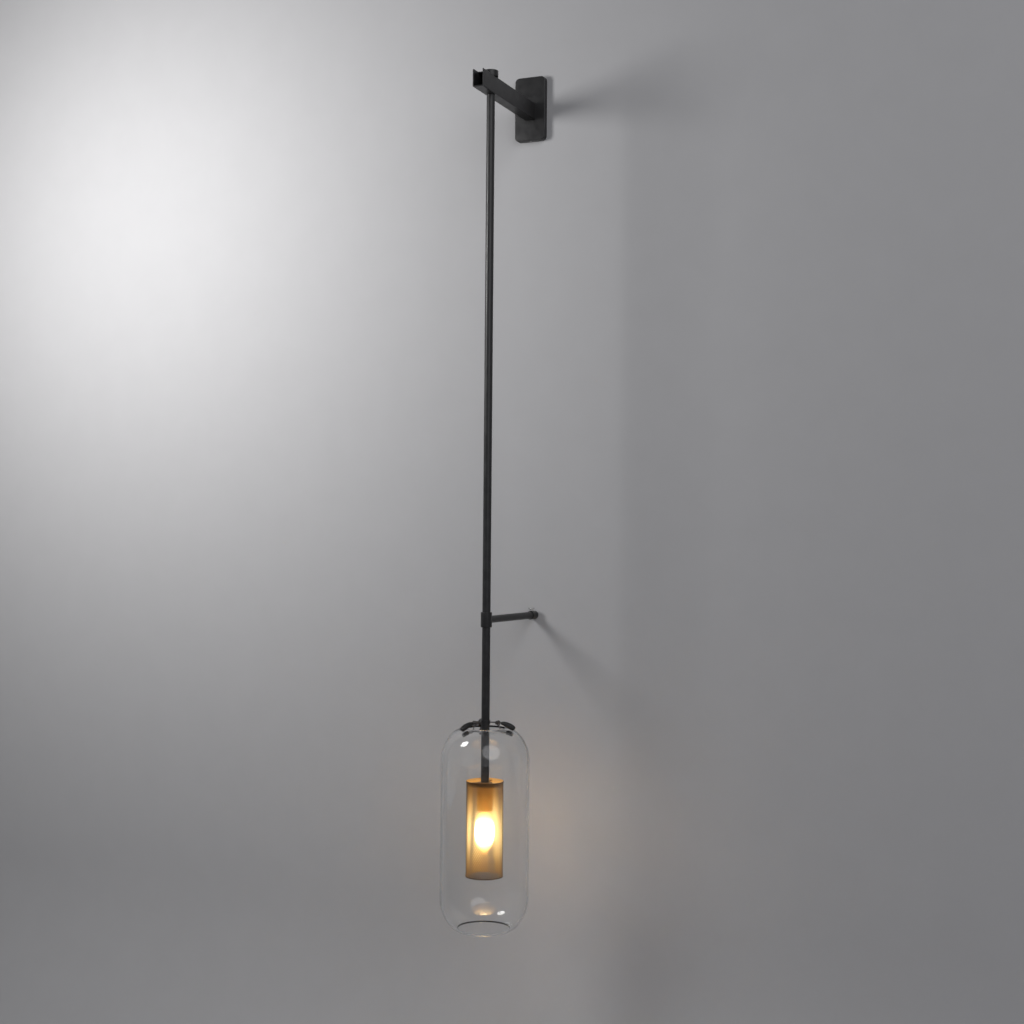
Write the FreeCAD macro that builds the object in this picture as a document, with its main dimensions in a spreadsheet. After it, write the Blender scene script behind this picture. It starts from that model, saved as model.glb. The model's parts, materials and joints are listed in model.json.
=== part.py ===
import FreeCAD, Part
import math
import os
import re
import Sketcher
from FreeCAD import Placement, Rotation, Vector

# Hanging wall sconce: a long rod hangs from a wall arm and carries a perforated
# shade with a candle lamp, inside a clear glass capsule that sprung clips hold.
# Frame: origin on the wall behind the middle of the wall plate, +Z up,
# +Y into the wall, so the whole lamp lies on the -Y side. Millimetres.

SIZES = {
    # wall plate and arm
    "reach": (182.5, "wall to the axis of the rod"),
    "plate_width": (58, "wall plate, side to side"),
    "plate_height": (115, "wall plate, top to bottom"),
    "plate_depth": (11, "wall plate, wall to front face"),
    "plate_wall": (1.5, "sheet of the wall plate"),
    "plate_corner": (8, "corner radius of the wall plate"),
    "plate_edge": (1.2, "rounding round the front face"),
    "bracket_width": (40, "mounting bracket, side to side"),
    "bracket_sheet": (1.5, "sheet of the mounting bracket"),
    "bracket_flange": (9, "bracket flange, wall to its front edge"),
    "wall_hole_spacing": (84, "between the two wall screws"),
    "wall_hole": (5, "diameter of the wall screw holes"),
    "supply_hole": (14, "diameter of the supply cable's hole"),
    "canopy_screw": (3, "diameter of the plate's grub screws"),
    "canopy_screw_length": (5, "length of the plate's grub screws"),
    "canopy_screw_depth": (5.5, "wall to the axis of the grub screws"),
    "arm_drop": (5.5, "plate middle down to the arm's middle"),
    "arm_width": (20, "arm section, side to side"),
    "arm_height": (30, "arm section, top to bottom"),
    "arm_wall": (2, "wall of the arm section"),
    "arm_edge": (1.5, "corner radius of the arm section"),
    "arm_overhang": (52, "rod axis to the arm's front end"),
    "arm_notch": (17, "length of the top web cut away at the front"),
    "root_block_length": (16, "block inside the arm's rear end"),
    "root_screw": (4, "diameter of the arm's two screws"),
    "root_screw_length": (12, "grip of the arm's screws in the block"),
    "root_screw_spacing": (16, "between the arm's two screws"),
    "root_screw_head": (7, "head diameter of the arm's screws"),
    "root_screw_head_height": (2.4, "head height of the arm's screws"),
    # wiring
    "lead": (4, "diameter of the lamp's lead"),
    "lead_hole": (6, "holes that the lead passes"),
    "lead_depth": (4.5, "wall to the lead inside the plate"),
    "lead_bend_plate": (5, "bend of the lead inside the plate"),
    "lead_bend_rod": (12, "bend of the lead into the rod"),
    "terminal_width": (24, "terminal block, side to side"),
    "terminal_height": (16, "terminal block, top to bottom"),
    "terminal_depth": (7.5, "terminal block, back to front"),
    "terminal_rise": (18, "plate middle up to the terminal block"),
    "terminal_pitch": (7.5, "between terminals"),
    "terminal_screw": (3, "diameter of the terminal screws"),
    "terminal_screw_length": (4, "length of the terminal screws"),
    "earth_drop": (26, "plate middle down to the earth screw"),
    "earth_screw": (4, "diameter of the earth screw"),
    "earth_head": (8, "head diameter of the earth screw"),
    "earth_head_height": (3, "head height of the earth screw"),
    # rod and its cap
    "rod_diameter": (14, "outside of the rod"),
    "rod_bore": (10, "bore of the rod"),
    "rod_length": (1205, "length of the rod"),
    "rod_window": (8, "width of the lead's window in the rod"),
    "rod_window_height": (10, "height of the lead's window in the rod"),
    "cap_diameter": (25, "cap on the rod, outside"),
    "cap_height": (10.5, "height of the cap above the arm"),
    "cap_roof": (2.5, "thickness of the cap's roof"),
    "cap_edge": (0.8, "rounding of the cap's upper edge"),
    "grub": (4, "diameter of the grub screws on the rod"),
    # stand-off to the wall
    "clamp_drop": (913, "plate middle down to the stand-off"),
    "clamp_diameter": (19, "clamp collar, outside"),
    "clamp_height": (25.5, "clamp collar, top to bottom"),
    "clamp_boss": (11, "rod axis to the end of the clamp's boss"),
    "clamp_edge": (0.8, "rounding of the clamp's edges"),
    "bar_diameter": (12.5, "stand-off bar"),
    "bar_spigot": (6, "spigot of the bar in the clamp, diameter"),
    "bar_spigot_length": (3, "length of the bar's spigot"),
    "bar_end": (9, "bar's end to the wall, along the bar"),
    "standoff_swing": (4, "degrees that the stand-off is turned on the rod"),
    "cup_diameter": (15, "wall cup, outside"),
    "cup_length": (18, "wall cup, wall to its mouth"),
    "cup_floor": (3, "floor of the wall cup"),
    "cup_screw_hole": (4.5, "hole for the cup's wall screw"),
    "thumb_depth": (13, "wall to the thumb screw"),
    "thumb_shank": (4, "shank diameter of the thumb screw"),
    "thumb_neck": (8, "neck diameter of the thumb screw"),
    "thumb_neck_height": (3.6, "height of the thumb screw's neck"),
    "thumb_head": (11.5, "head diameter of the thumb screw"),
    "thumb_head_height": (2, "height of the thumb screw's head"),
    # glass shade
    "glass_rise": (92, "rod's end up to the glass's top"),
    "glass_diameter": (150, "glass, outside"),
    "glass_height": (340.5, "glass, top to bottom"),
    "glass_wall": (3, "wall of the glass"),
    "glass_hole": (66, "top hole of the glass"),
    "glass_mouth": (90, "bottom mouth of the glass, outside"),
    "glass_crown": (34, "radius of the crown arc next to the hole"),
    "glass_shoulder": (55, "top of the glass down to the straight wall"),
    "glass_edge": (1.2, "rounding of the fire-polished rims"),
    # sprung clips that hold the glass
    "clip_count": (3, "clips round the rod"),
    "clip_angle": (4, "turn of the first clip from +X"),
    "clip_rise": (9.8, "glass top up to the clip pins"),
    "clip_radius": (22, "rod axis to the clip pins"),
    "hub_diameter": (16, "clip hub, outside"),
    "hub_height": (6, "clip hub, top to bottom"),
    "arm_wire": (2, "wire from the hub to the pin, diameter"),
    "arm_wire_start": (7.3, "rod axis to the wire's inner end"),
    "pin_diameter": (2, "clip pin"),
    "pin_length": (9.8, "clip pin, end to end"),
    "eye_diameter": (6.5, "eyes round the pin"),
    "wire_eye_width": (1.8, "eye of the wire"),
    "upper_cheek": (3.1, "clip middle to the upper prong's cheeks"),
    "lower_cheek": (3.95, "clip middle to the lower prong's cheeks"),
    "cheek_sheet": (0.7, "sheet of the cheeks"),
    "spring_wire": (0.7, "wire of the torsion springs"),
    "spring_radius": (2.4, "middle radius of the torsion springs"),
    "spring_pitch": (0.8, "rise of each spring turn"),
    "spring_turns": (1.5, "turns in each half of a spring"),
    "spring_start": (1.4, "clip middle to the spring's first turn"),
    "prong_wire": (1.8, "wire of the prongs"),
    "prong_bridge": (27.5, "rod axis to the cross bar of the prongs"),
    "pad_arc": (56, "bend radius of the upper pad"),
    "pad_reach": (52, "rod axis to the upper pad's tip"),
    "pad_start": (6, "pin to the pad's root, along its arc"),
    "prong_tail": (3, "upper prong's end back from the pad's tip"),
    "pad_root": (2.6, "radius of the upper pad at its root"),
    "pad_belly": (4.9, "radius of the upper pad at its middle"),
    "pad_tip": (4.4, "radius of the upper pad near its tip"),
    "pad_nose": (3, "radius of the upper pad's end face"),
    "sleeve_radius": (3, "radius of the lower sleeve"),
    "sleeve_start": (37, "rod axis to the lower sleeve's root"),
    "sleeve_end": (48, "rod axis to the lower sleeve's tip"),
    "sleeve_edge": (1, "rounding of the lower sleeve's ends"),
    "lower_drop": (29, "rod axis to the foot of the lower prong"),
    # perforated shade
    "nipple_diameter": (10, "threaded tube in the rod's end"),
    "nipple_bore": (7, "bore of the threaded tube"),
    "nipple_above": (10, "threaded tube above the rod's end"),
    "nipple_below": (6.5, "threaded tube below the rod's end"),
    "nut_width": (14, "nut on the threaded tube, across flats"),
    "nut_height": (3, "nut on the threaded tube"),
    "mesh_rise": (2.5, "rod's end up to the shade's rim"),
    "mesh_diameter": (62.5, "perforated shade, outside"),
    "mesh_height": (160.5, "perforated shade, rim to rim"),
    "mesh_sheet": (0.6, "sheet of the perforated shade"),
    "rim_sheet": (0.65, "sheet of the rim bands"),
    "rim_height": (2.5, "height of the rim bands"),
    "spider_sheet": (1.5, "sheet of the spider"),
    "spider_hub": (24, "hub diameter of the spider"),
    "spoke_count": (3, "spokes of the spider"),
    "spoke_angle": (95, "turn of the first spoke from +X"),
    "spoke_width": (5, "width of the spokes"),
    "spider_ring": (1.2, "sheet of the spider's ring"),
    "spider_ring_height": (4, "height of the spider's ring"),
    # lampholder
    "holder_diameter": (27, "lampholder sleeve, outside"),
    "holder_length": (46, "lampholder sleeve, top to bottom"),
    "holder_sheet": (1.2, "wall of the sleeve"),
    "holder_roof": (1.5, "roof of the sleeve"),
    "holder_edge": (0.8, "rounding of the sleeve's upper edge"),
    "core_gap": (2, "nut down to the lampholder's core"),
    "socket_depth": (24, "depth of the screw socket"),
    "socket_diameter": (14.2, "bore of the threaded shell"),
    "socket_sheet": (0.5, "sheet of the threaded shell"),
    "socket_length": (20, "length of the threaded shell"),
    "socket_lip": (1, "core's mouth up to the threaded shell"),
    "contact_diameter": (6, "middle contact of the lampholder"),
    "contact_height": (1, "height of the middle contact"),
    # candle lamp
    "lamp_gap": (0.3, "lamp's contact to the lampholder's contact"),
    "lamp_cap_diameter": (14, "lamp cap, over its thread"),
    "lamp_cap_length": (19, "lamp cap, without its insulator"),
    "lamp_insulator_length": (3, "glass insulator of the lamp cap"),
    "lamp_insulator_diameter": (10, "insulator at the contact's end"),
    "lamp_contact_diameter": (4.5, "lamp's middle contact"),
    "lamp_contact_height": (1, "height of the lamp's contact"),
    "bulb_diameter": (35, "bulb at its widest"),
    "bulb_neck": (14, "bulb at the cap"),
    "bulb_belly_drop": (34, "neck down to the widest place"),
    "bulb_tip_diameter": (6, "bulb where its tip begins"),
    "bulb_length": (77, "neck to the tip's end"),
    "bulb_tip_length": (3, "rounded tip"),
    "bulb_nose": (0.15, "how much the tip's arc is wider than the tip"),
    "bulb_wall": (0.8, "wall of the bulb"),
    "stem_diameter": (7, "glass stem in the bulb"),
    "stem_length": (14, "glass stem below the neck"),
    "filament_diameter": (1.6, "filament sticks"),
    "filament_length": (32, "filament sticks"),
    "filament_count": (4, "filament sticks round the stem"),
    "filament_circle": (4, "diameter of their circle at the stem"),
    # fits
    "fit": (0.05, "radial clearance of shafts and screws in their holes"),
    "slip": (0.3, "clearance between loose faces"),
    "cushion": (0.35, "between the clips' pads and the glass"),
    # how the holes are cut
    "overrun": (1, "how far a cutting tool starts and ends clear of its piece"),
}

doc = FreeCAD.newDocument("hanging_wall_sconce")
sheet = doc.addObject("Spreadsheet::Sheet", "Sizes")
for row, (alias, (number, note)) in enumerate(SIZES.items(), start=1):
    sheet.set(f"A{row}", alias)
    sheet.set(f"B{row}", str(number))
    sheet.set(f"C{row}", note)
    sheet.setAlias(f"B{row}", alias)
doc.recompute()

# Heights that several sub-parts share, as expressions on the sheet
ARM_TOP = "(arm_height/2 - arm_drop)"
ROD_TOP = f"({ARM_TOP} + cap_height - cap_roof)"
ROD_END = f"({ROD_TOP} - rod_length)"
GLASS_TOP = f"({ROD_END} + glass_rise)"
PIN_LEVEL = f"({GLASS_TOP} + clip_rise)"
HOLDER_TOP = f"({ROD_END} - spider_sheet)"
CORE_TOP = "(-holder_roof - nut_height - core_gap)"
SOCKET_ROOF = "(socket_depth - holder_length)"
LAMP_NECK = (f"({HOLDER_TOP} + {SOCKET_ROOF} - contact_height - lamp_gap"
             " - lamp_contact_height - lamp_insulator_length - lamp_cap_length)")

# The stand-off's bar, from the rod's axis to the wall along its own axis
BAR_RUN = "(reach / cos(standoff_swing*1deg))"

# How the upper pad swells: (place along it, share of the way from its ends' girth)
PAD_SWELL = [(0, 0), (0.2, 0.5), (0.45, 0.85), (0.7, 1), (0.9, 0.4)]

nodes = {}


def on_sheet(text):
    """Write the sizes in an expression as references to the sheet."""
    return re.sub(r"[a-z][a-z_]*", lambda word: f"Sizes.{word[0]}" if word[0] in SIZES else word[0], text)


def value(text):
    """The number that an expression on the sheet gives now."""
    return float(sheet.evalExpression(on_sheet(text)))


def bind(thing, **expressions):
    """Tie properties to expressions; x, y and z are the place of the piece."""
    for name, text in expressions.items():
        path = f".Placement.Base.{name}" if name in ("x", "y", "z") else name
        thing.setExpression(path, on_sheet(text))


def node(name, thing):
    """Make an object a sub-part under its own name."""
    thing.Label = name
    nodes[name] = thing
    return thing


def cylinder(radius, height, along="z", **place):
    """A cylinder that grows along an axis from its place."""
    thing = doc.addObject("Part::Cylinder", "Cylinder")
    turns = {"z": Rotation(), "x": Rotation(Vector(0, 1, 0), 90), "y": Rotation(Vector(1, 0, 0), -90)}
    thing.Placement = Placement(Vector(), turns[along])
    bind(thing, Radius=radius, Height=height, **place)
    return thing


def box(length, width, height, **place):
    """A box that grows along +X, +Y and +Z from its place."""
    thing = doc.addObject("Part::Box", "Box")
    bind(thing, Length=length, Width=width, Height=height, **place)
    return thing


def cut(base, *tools):
    """The base without the tools."""
    thing = doc.addObject("Part::Cut", "Cut")
    thing.Base = base
    thing.Tool = tools[0] if len(tools) == 1 else fuse(*tools)
    return thing


def fuse(*pieces):
    """Several solids as one shape."""
    thing = doc.addObject("Part::MultiFuse", "Fuse")
    thing.Shapes = list(pieces)
    thing.Refine = True
    return thing


def draw(sketch, corners):
    """A closed outline of corners (x, y) or (x, y, radius, side).

    A corner with a radius starts an arc to the next corner; side 1 turns
    anticlockwise and side -1 clockwise.
    """
    points = [Vector(value(corner[0]), value(corner[1]), 0) for corner in corners]
    ends = []
    for index, corner in enumerate(corners):
        start = points[index]
        end = points[(index + 1) % len(points)]
        if len(corner) == 2:
            edge = sketch.addGeometry(Part.LineSegment(start, end))
            ends.append((edge, 1, 2))
            continue
        radius = value(corner[2])
        chord = end - start
        height = math.sqrt(radius ** 2 - (chord.Length / 2) ** 2)
        normal = Vector(-chord.y, chord.x, 0).normalize() * (height * corner[3])
        centre = (start + end) / 2 + normal
        first, last = (start, end) if corner[3] > 0 else (end, start)
        angles = [math.atan2(point.y - centre.y, point.x - centre.x) for point in (first, last)]
        circle = Part.Circle(centre, Vector(0, 0, 1), radius)
        edge = sketch.addGeometry(Part.ArcOfCircle(circle, *angles))
        ends.append((edge, 1, 2) if corner[3] > 0 else (edge, 2, 1))
        label = sketch.addConstraint(Sketcher.Constraint("Radius", edge, radius))
        sketch.setExpression(f"Constraints[{label}]", on_sheet(corner[2]))
    for index, corner in enumerate(corners):
        edge, start, _ = ends[index]
        before, _, end = ends[index - 1]
        sketch.addConstraint(Sketcher.Constraint("Coincident", before, end, edge, start))
        for kind, text, axis, at in (("DistanceX", corner[0], -2, "x"), ("DistanceY", corner[1], -1, "y")):
            if text == "0":
                sketch.addConstraint(Sketcher.Constraint("PointOnObject", edge, start, axis))
                continue
            here = getattr(points[index], at)
            label = sketch.addConstraint(Sketcher.Constraint(kind, -1, 1, edge, start, here))
            sketch.setExpression(f"Constraints[{label}]", on_sheet(text))
    doc.recompute()


def plane_of(body, role):
    """One of a body's own origin planes."""
    return next(item for item in body.Origin.OriginFeatures if item.Role == role)


def body_sketch(body, role, corners):
    """A sketch of one closed outline on a body's origin plane."""
    sketch = body.newObject("Sketcher::SketchObject", "Outline")
    sketch.AttachmentSupport = [(plane_of(body, role), "")]
    sketch.MapMode = "FlatFace"
    draw(sketch, corners)
    return sketch


def turned(corners, **place):
    """A body turned about the vertical axis from its half section (radius, height)."""
    body = doc.addObject("PartDesign::Body", "Turned")
    sketch = body_sketch(body, "XZ_Plane", corners)
    feature = body.newObject("PartDesign::Revolution", "Turn")
    feature.Profile = sketch
    feature.ReferenceAxis = (sketch, ["V_Axis"])
    feature.Angle = 360
    bind(body, **place)
    doc.recompute()
    return body


def ring(inner, outer, bottom, top):
    """The half section of a plain ring or, with inner 0, of a disc."""
    return [(inner, bottom), (outer, bottom), (outer, top), (inner, top)]


def rounded_rectangle(width, height, corner):
    """A rectangle about the origin with rounded corners."""
    x = f"({width})/2"
    y = f"({height})/2"
    across = f"{x} - {corner}"
    upright = f"{y} - {corner}"
    return [
        (f"-({across})", f"-({y})"), (across, f"-({y})", corner, 1),
        (x, f"-({upright})"), (x, upright, corner, 1),
        (across, y), (f"-({across})", y, corner, 1),
        (f"-({x})", upright), (f"-({x})", f"-({upright})", corner, 1),
    ]


def padded(corners, length, **place):
    """A body padded from an outline on the XZ plane, growing towards -Y."""
    body = doc.addObject("PartDesign::Body", "Padded")
    sketch = body_sketch(body, "XZ_Plane", corners)
    feature = body.newObject("PartDesign::Pad", "Pad")
    feature.Profile = sketch
    bind(feature, Length=length)
    bind(body, **place)
    doc.recompute()
    return body


def rounded(body, radius, chosen):
    """Round the edges of a body that a test on an edge chooses."""
    doc.recompute()
    base = body.Tip
    names = [f"Edge{n}" for n, edge in enumerate(base.Shape.Edges, start=1) if chosen(edge)]
    feature = body.newObject("PartDesign::Fillet", "Rounding")
    feature.Base = (base, names)
    bind(feature, Radius=radius)
    doc.recompute()
    return body


def rim_at(level):
    """A test for the round edges at a height, in the body's own frame."""
    height = value(level)
    return lambda edge: edge.BoundBox.ZLength < 0.001 and abs(edge.BoundBox.ZMin - height) < 0.001


def front_at(level):
    """A test for the edges at a depth, in the body's own frame."""
    depth = value(level)
    return lambda edge: edge.BoundBox.YLength < 0.001 and abs(edge.BoundBox.YMin - depth) < 0.001


# ---- wall plate, bracket and wiring space ----

def make_wall_plate():
    """The hollow plate on the wall, with holes for the arm's screws and the lead."""
    shell = padded(rounded_rectangle("plate_width", "plate_height", "plate_corner"), "plate_depth")
    rounded(shell, "plate_edge", front_at("-plate_depth"))
    hollow = padded(
        rounded_rectangle("plate_width - 2*plate_wall", "plate_height - 2*plate_wall",
                          "(plate_corner - plate_wall)"),
        "plate_depth - plate_wall")
    through = "plate_wall + 2*overrun"
    front = "-plate_depth - overrun"
    lead_hole = cylinder("lead_hole/2", through, "y", y=front, z="-arm_drop")
    upper = cylinder("root_screw/2 + fit", through, "y", y=front, z="root_screw_spacing/2 - arm_drop")
    lower = cylinder("root_screw/2 + fit", through, "y", y=front, z="-root_screw_spacing/2 - arm_drop")
    grub_bore = cylinder("canopy_screw/2 + fit", "plate_height + 2*overrun",
                         y="-canopy_screw_depth", z="-plate_height/2 - overrun")
    node("wall_plate", cut(shell, hollow, lead_hole, upper, lower, grub_bore))


def make_mounting_bracket():
    """The strap that is screwed to the wall; its flanges take the plate's grub screws."""
    inside = "plate_height/2 - plate_wall - slip"
    web = box("bracket_width", "bracket_sheet", f"2*({inside})",
              x="-bracket_width/2", y="-bracket_sheet", z=f"-({inside})")
    flanges = [
        box("bracket_width", "bracket_flange", "bracket_sheet",
            x="-bracket_width/2", y="-bracket_flange", z=z)
        for z in (f"{inside} - bracket_sheet", f"-({inside})")
    ]
    through = "bracket_sheet + 2*overrun"
    behind = "-bracket_sheet - overrun"
    holes = [
        cylinder("wall_hole/2", through, "y", y=behind, z="wall_hole_spacing/2"),
        cylinder("wall_hole/2", through, "y", y=behind, z="-wall_hole_spacing/2"),
        cylinder("supply_hole/2", through, "y", y=behind),
        cylinder("earth_screw/2 + fit", through, "y", y=behind, z="-earth_drop"),
        cylinder("canopy_screw/2 + fit", "plate_height", y="-canopy_screw_depth", z="-plate_height/2"),
    ]
    node("mounting_bracket", cut(fuse(web, *flanges), *holes))


def make_canopy_screws():
    """Two grub screws, one through the plate's top and one through its bottom."""
    places = ("plate_height/2 - canopy_screw_length", "-plate_height/2")
    screws = [cylinder("canopy_screw/2", "canopy_screw_length", y="-canopy_screw_depth", z=z)
              for z in places]
    node("canopy_screws", fuse(*screws))


def make_terminals():
    """The terminal block on the bracket, with its three screws."""
    block = box("terminal_width", "terminal_depth", "terminal_height",
                x="-terminal_width/2", y="-bracket_sheet - terminal_depth", z="terminal_rise")
    screws = []
    bores = []
    for step in (-1, 0, 1):
        place = {"x": f"{step}*terminal_pitch", "y": "-bracket_sheet - terminal_depth",
                 "z": "terminal_rise + terminal_height/2"}
        screws.append(cylinder("terminal_screw/2", "terminal_screw_length", "y", **place))
        bores.append(cylinder("terminal_screw/2 + fit", "terminal_screw_length", "y", **place))
    node("terminal_block", cut(block, *bores))
    node("terminal_screws", fuse(*screws))


def make_earth_screw():
    """The earth screw in the bracket."""
    head = cylinder("earth_head/2", "earth_head_height", "y",
                    y="-bracket_sheet - earth_head_height", z="-earth_drop")
    shank = cylinder("earth_screw/2", "bracket_sheet", "y", y="-bracket_sheet", z="-earth_drop")
    node("earth_screw", fuse(head, shank))


# ---- arm ----

def make_arm():
    """The box section arm; its top web is cut back at the front, which leaves two ears."""
    length = "reach + arm_overhang - plate_depth"
    tube = padded(rounded_rectangle("arm_width", "arm_height", "arm_edge"), length,
                  y="-plate_depth", z="-arm_drop")
    inner_width = "arm_width - 2*arm_wall"
    inner_height = "arm_height - 2*arm_wall"
    front = "-reach - arm_overhang - overrun"
    hollow = box(inner_width, f"{length} + 2*overrun", inner_height,
                 x=f"-({inner_width})/2", y=front, z=f"-({inner_height})/2 - arm_drop")
    notch = box(inner_width, "arm_notch + overrun", "arm_wall + 2*overrun",
                x=f"-({inner_width})/2", y=front, z=f"{ARM_TOP} - arm_wall - overrun")
    rod_hole = cylinder("rod_diameter/2 + fit", "arm_height + 2*overrun",
                        y="-reach", z=f"{ARM_TOP} - arm_height - overrun")
    node("arm", cut(tube, hollow, notch, rod_hole))


def make_root_block():
    """The block in the arm's rear end, and the two screws that pull it to the plate."""
    width = "arm_width - 2*arm_wall - 2*fit"
    height = "arm_height - 2*arm_wall - 2*fit"
    block = box(width, "root_block_length", height,
                x=f"-({width})/2", y="-plate_depth - root_block_length", z=f"-({height})/2 - arm_drop")
    through = "root_block_length + 2*overrun"
    start = "-plate_depth - root_block_length - overrun"
    bores = [
        cylinder("lead_hole/2", through, "y", y=start, z="-arm_drop"),
        cylinder("root_screw/2 + fit", through, "y", y=start, z="root_screw_spacing/2 - arm_drop"),
        cylinder("root_screw/2 + fit", through, "y", y=start, z="-root_screw_spacing/2 - arm_drop"),
    ]
    node("root_block", cut(block, *bores))
    parts = []
    for side in ("root_screw_spacing/2", "-root_screw_spacing/2"):
        level = f"{side} - arm_drop"
        parts.append(cylinder("root_screw_head/2", "root_screw_head_height", "y",
                              y="plate_wall - plate_depth", z=level))
        parts.append(cylinder("root_screw/2", "root_screw_length + plate_wall", "y",
                              y="-plate_depth - root_screw_length", z=level))
    node("root_screws", fuse(*parts))


# ---- rod, cap and lead ----

def make_cap():
    """The cap that rests on the arm and carries the rod, with its grub screw."""
    bore = "(rod_diameter/2 + fit)"
    cap = turned([
        (bore, "0"), ("cap_diameter/2", "0"), ("cap_diameter/2", "cap_height"),
        ("0", "cap_height"), ("0", "cap_height - cap_roof"), (bore, "cap_height - cap_roof"),
    ], y="-reach", z=ARM_TOP)
    rounded(cap, "cap_edge", rim_at("cap_height"))
    level = f"{ARM_TOP} + (cap_height - cap_roof)/2"
    bore_hole = cylinder("grub/2 + fit", "cap_diameter/2", "y", y="-reach", z=level)
    node("rod_cap", cut(cap, bore_hole))
    length = "cap_diameter/2 - rod_diameter/2 - 2*fit"
    node("cap_screw", cylinder("grub/2", length, "y", y="rod_diameter/2 + fit - reach", z=level))


def make_rod():
    """The long tube, with a window inside the arm where the lead comes in."""
    tube = cylinder("rod_diameter/2", "rod_length", y="-reach", z=ROD_END)
    bore = cylinder("rod_bore/2", "rod_length", y="-reach", z=ROD_END)
    entry = "(sqrt(lead_bend_rod^2 - (lead_bend_rod - rod_diameter/2)^2) - lead_bend_rod)"
    window = box("rod_window", "rod_diameter/2", "rod_window_height",
                 x="-rod_window/2", y="-reach", z=f"{entry} - arm_drop - rod_window_height/2")
    node("rod", cut(tube, bore, window))


def quarter_bend(bend, start, turn):
    """A quarter of a torus of the lead's section, from a rotation about its middle."""
    thing = doc.addObject("Part::Torus", "Bend")
    thing.Placement = Placement(Vector(), turn)
    thing.Angle3 = 90
    bind(thing, Radius1=bend, Radius2="lead/2", **start)
    return thing


def make_lead():
    """The lamp's lead: down the plate, along the arm, and down the rod."""
    inner = cylinder("lead/2", "terminal_rise + arm_drop - lead_bend_plate",
                     y="-lead_depth", z="lead_bend_plate - arm_drop")
    first_bend = quarter_bend("lead_bend_plate",
                              {"y": "-lead_depth - lead_bend_plate", "z": "lead_bend_plate - arm_drop"},
                              Rotation(Vector(0, 1, 0), Vector(0, 0, -1), Vector(-1, 0, 0), "XYZ"))
    run = cylinder("lead/2", "reach - lead_depth - lead_bend_plate - lead_bend_rod", "y",
                   y="lead_bend_rod - reach", z="-arm_drop")
    second_bend = quarter_bend("lead_bend_rod",
                               {"y": "lead_bend_rod - reach", "z": "-arm_drop - lead_bend_rod"},
                               Rotation(Vector(0, 0, 1), Vector(0, -1, 0), Vector(1, 0, 0), "XYZ"))
    foot = f"{HOLDER_TOP} + {CORE_TOP}"
    down = cylinder("lead/2", f"-arm_drop - lead_bend_rod - ({foot})", y="-reach", z=foot)
    node("lead", fuse(inner, first_bend, run, second_bend, down))


# ---- stand-off to the wall ----

def bar_at(run):
    """The place on the stand-off's axis at a distance from the rod's axis."""
    turn = "standoff_swing*1deg"
    return {"x": f"({run})*sin({turn})", "y": f"({run})*cos({turn}) - reach", "z": "-clamp_drop"}


def along_bar(radius, start, length):
    """A cylinder on the stand-off's axis; its start is measured from the rod's axis."""
    thing = cylinder(radius, length, "y", **bar_at(start))
    swing = Rotation(Vector(0, 0, 1), -value("standoff_swing"))
    thing.Placement.Rotation = swing * thing.Placement.Rotation
    return thing


def across_wall(depth, start):
    """A block as deep as given, parallel to the wall, that takes in the cup's whole width."""
    middle = bar_at(BAR_RUN)
    return box("2*cup_diameter", depth, "2*cup_diameter",
               x=f"{middle['x']} - cup_diameter", y=start, z=f"{middle['z']} - cup_diameter")


def make_clamp():
    """The collar that clamps the rod, with a boss for the bar and a grub screw."""
    half = "clamp_height/2"
    bore = "(rod_diameter/2 + fit)"
    collar = turned(ring(bore, "clamp_diameter/2", f"-{half}", half), y="-reach", z="-clamp_drop")
    outside = value("clamp_diameter/2")
    rounded(collar, "clamp_edge",
            lambda edge: edge.BoundBox.ZLength < 0.001 and edge.BoundBox.XMax > outside - 0.001)
    boss = along_bar("bar_diameter/2", "0", "clamp_boss")
    rod_bore = cylinder(bore, "clamp_height", y="-reach", z=f"-clamp_drop - {half}")
    spigot_bore = along_bar("bar_spigot/2 + fit", "clamp_boss - bar_spigot_length",
                            "bar_spigot_length + overrun")
    screw_bore = cylinder("grub/2 + fit", "clamp_diameter/2", "x",
                          x="-clamp_diameter/2", y="-reach", z="-clamp_drop")
    node("standoff_clamp", cut(fuse(collar, boss), rod_bore, spigot_bore, screw_bore))
    length = "clamp_diameter/2 - rod_diameter/2 - 2*fit"
    node("clamp_screw", cylinder("grub/2", length, "x", x="-clamp_diameter/2 + fit", y="-reach",
                                 z="-clamp_drop"))


def make_bar():
    """The bar from the clamp to the wall cup, with a spigot in the clamp's boss."""
    bar = along_bar("bar_diameter/2", "clamp_boss", f"{BAR_RUN} - clamp_boss - bar_end")
    spigot = along_bar("bar_spigot/2", "clamp_boss - bar_spigot_length", "bar_spigot_length")
    node("standoff_bar", fuse(bar, spigot))


def make_cup():
    """The cup that is screwed to the wall, its foot cut flush with it; the bar slides in it."""
    mouth = f"{BAR_RUN} - cup_length"
    shell = along_bar("cup_diameter/2", mouth, "cup_length + cup_floor")
    behind = across_wall("cup_diameter", "0")
    floor = across_wall("cup_floor + cup_diameter", "-cup_floor")
    bore = cut(along_bar("bar_diameter/2 + fit", f"{mouth} - overrun", "cup_length + overrun"), floor)
    screw_hole = cylinder("cup_screw_hole/2", "cup_floor + 2*overrun", "y",
                          x=bar_at(BAR_RUN)["x"], y="-cup_floor - overrun", z="-clamp_drop")
    thumb_hole = cylinder("thumb_shank/2 + fit", "cup_diameter", **bar_at(f"{BAR_RUN} - thumb_depth"))
    node("wall_cup", cut(shell, behind, bore, screw_hole, thumb_hole))


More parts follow.
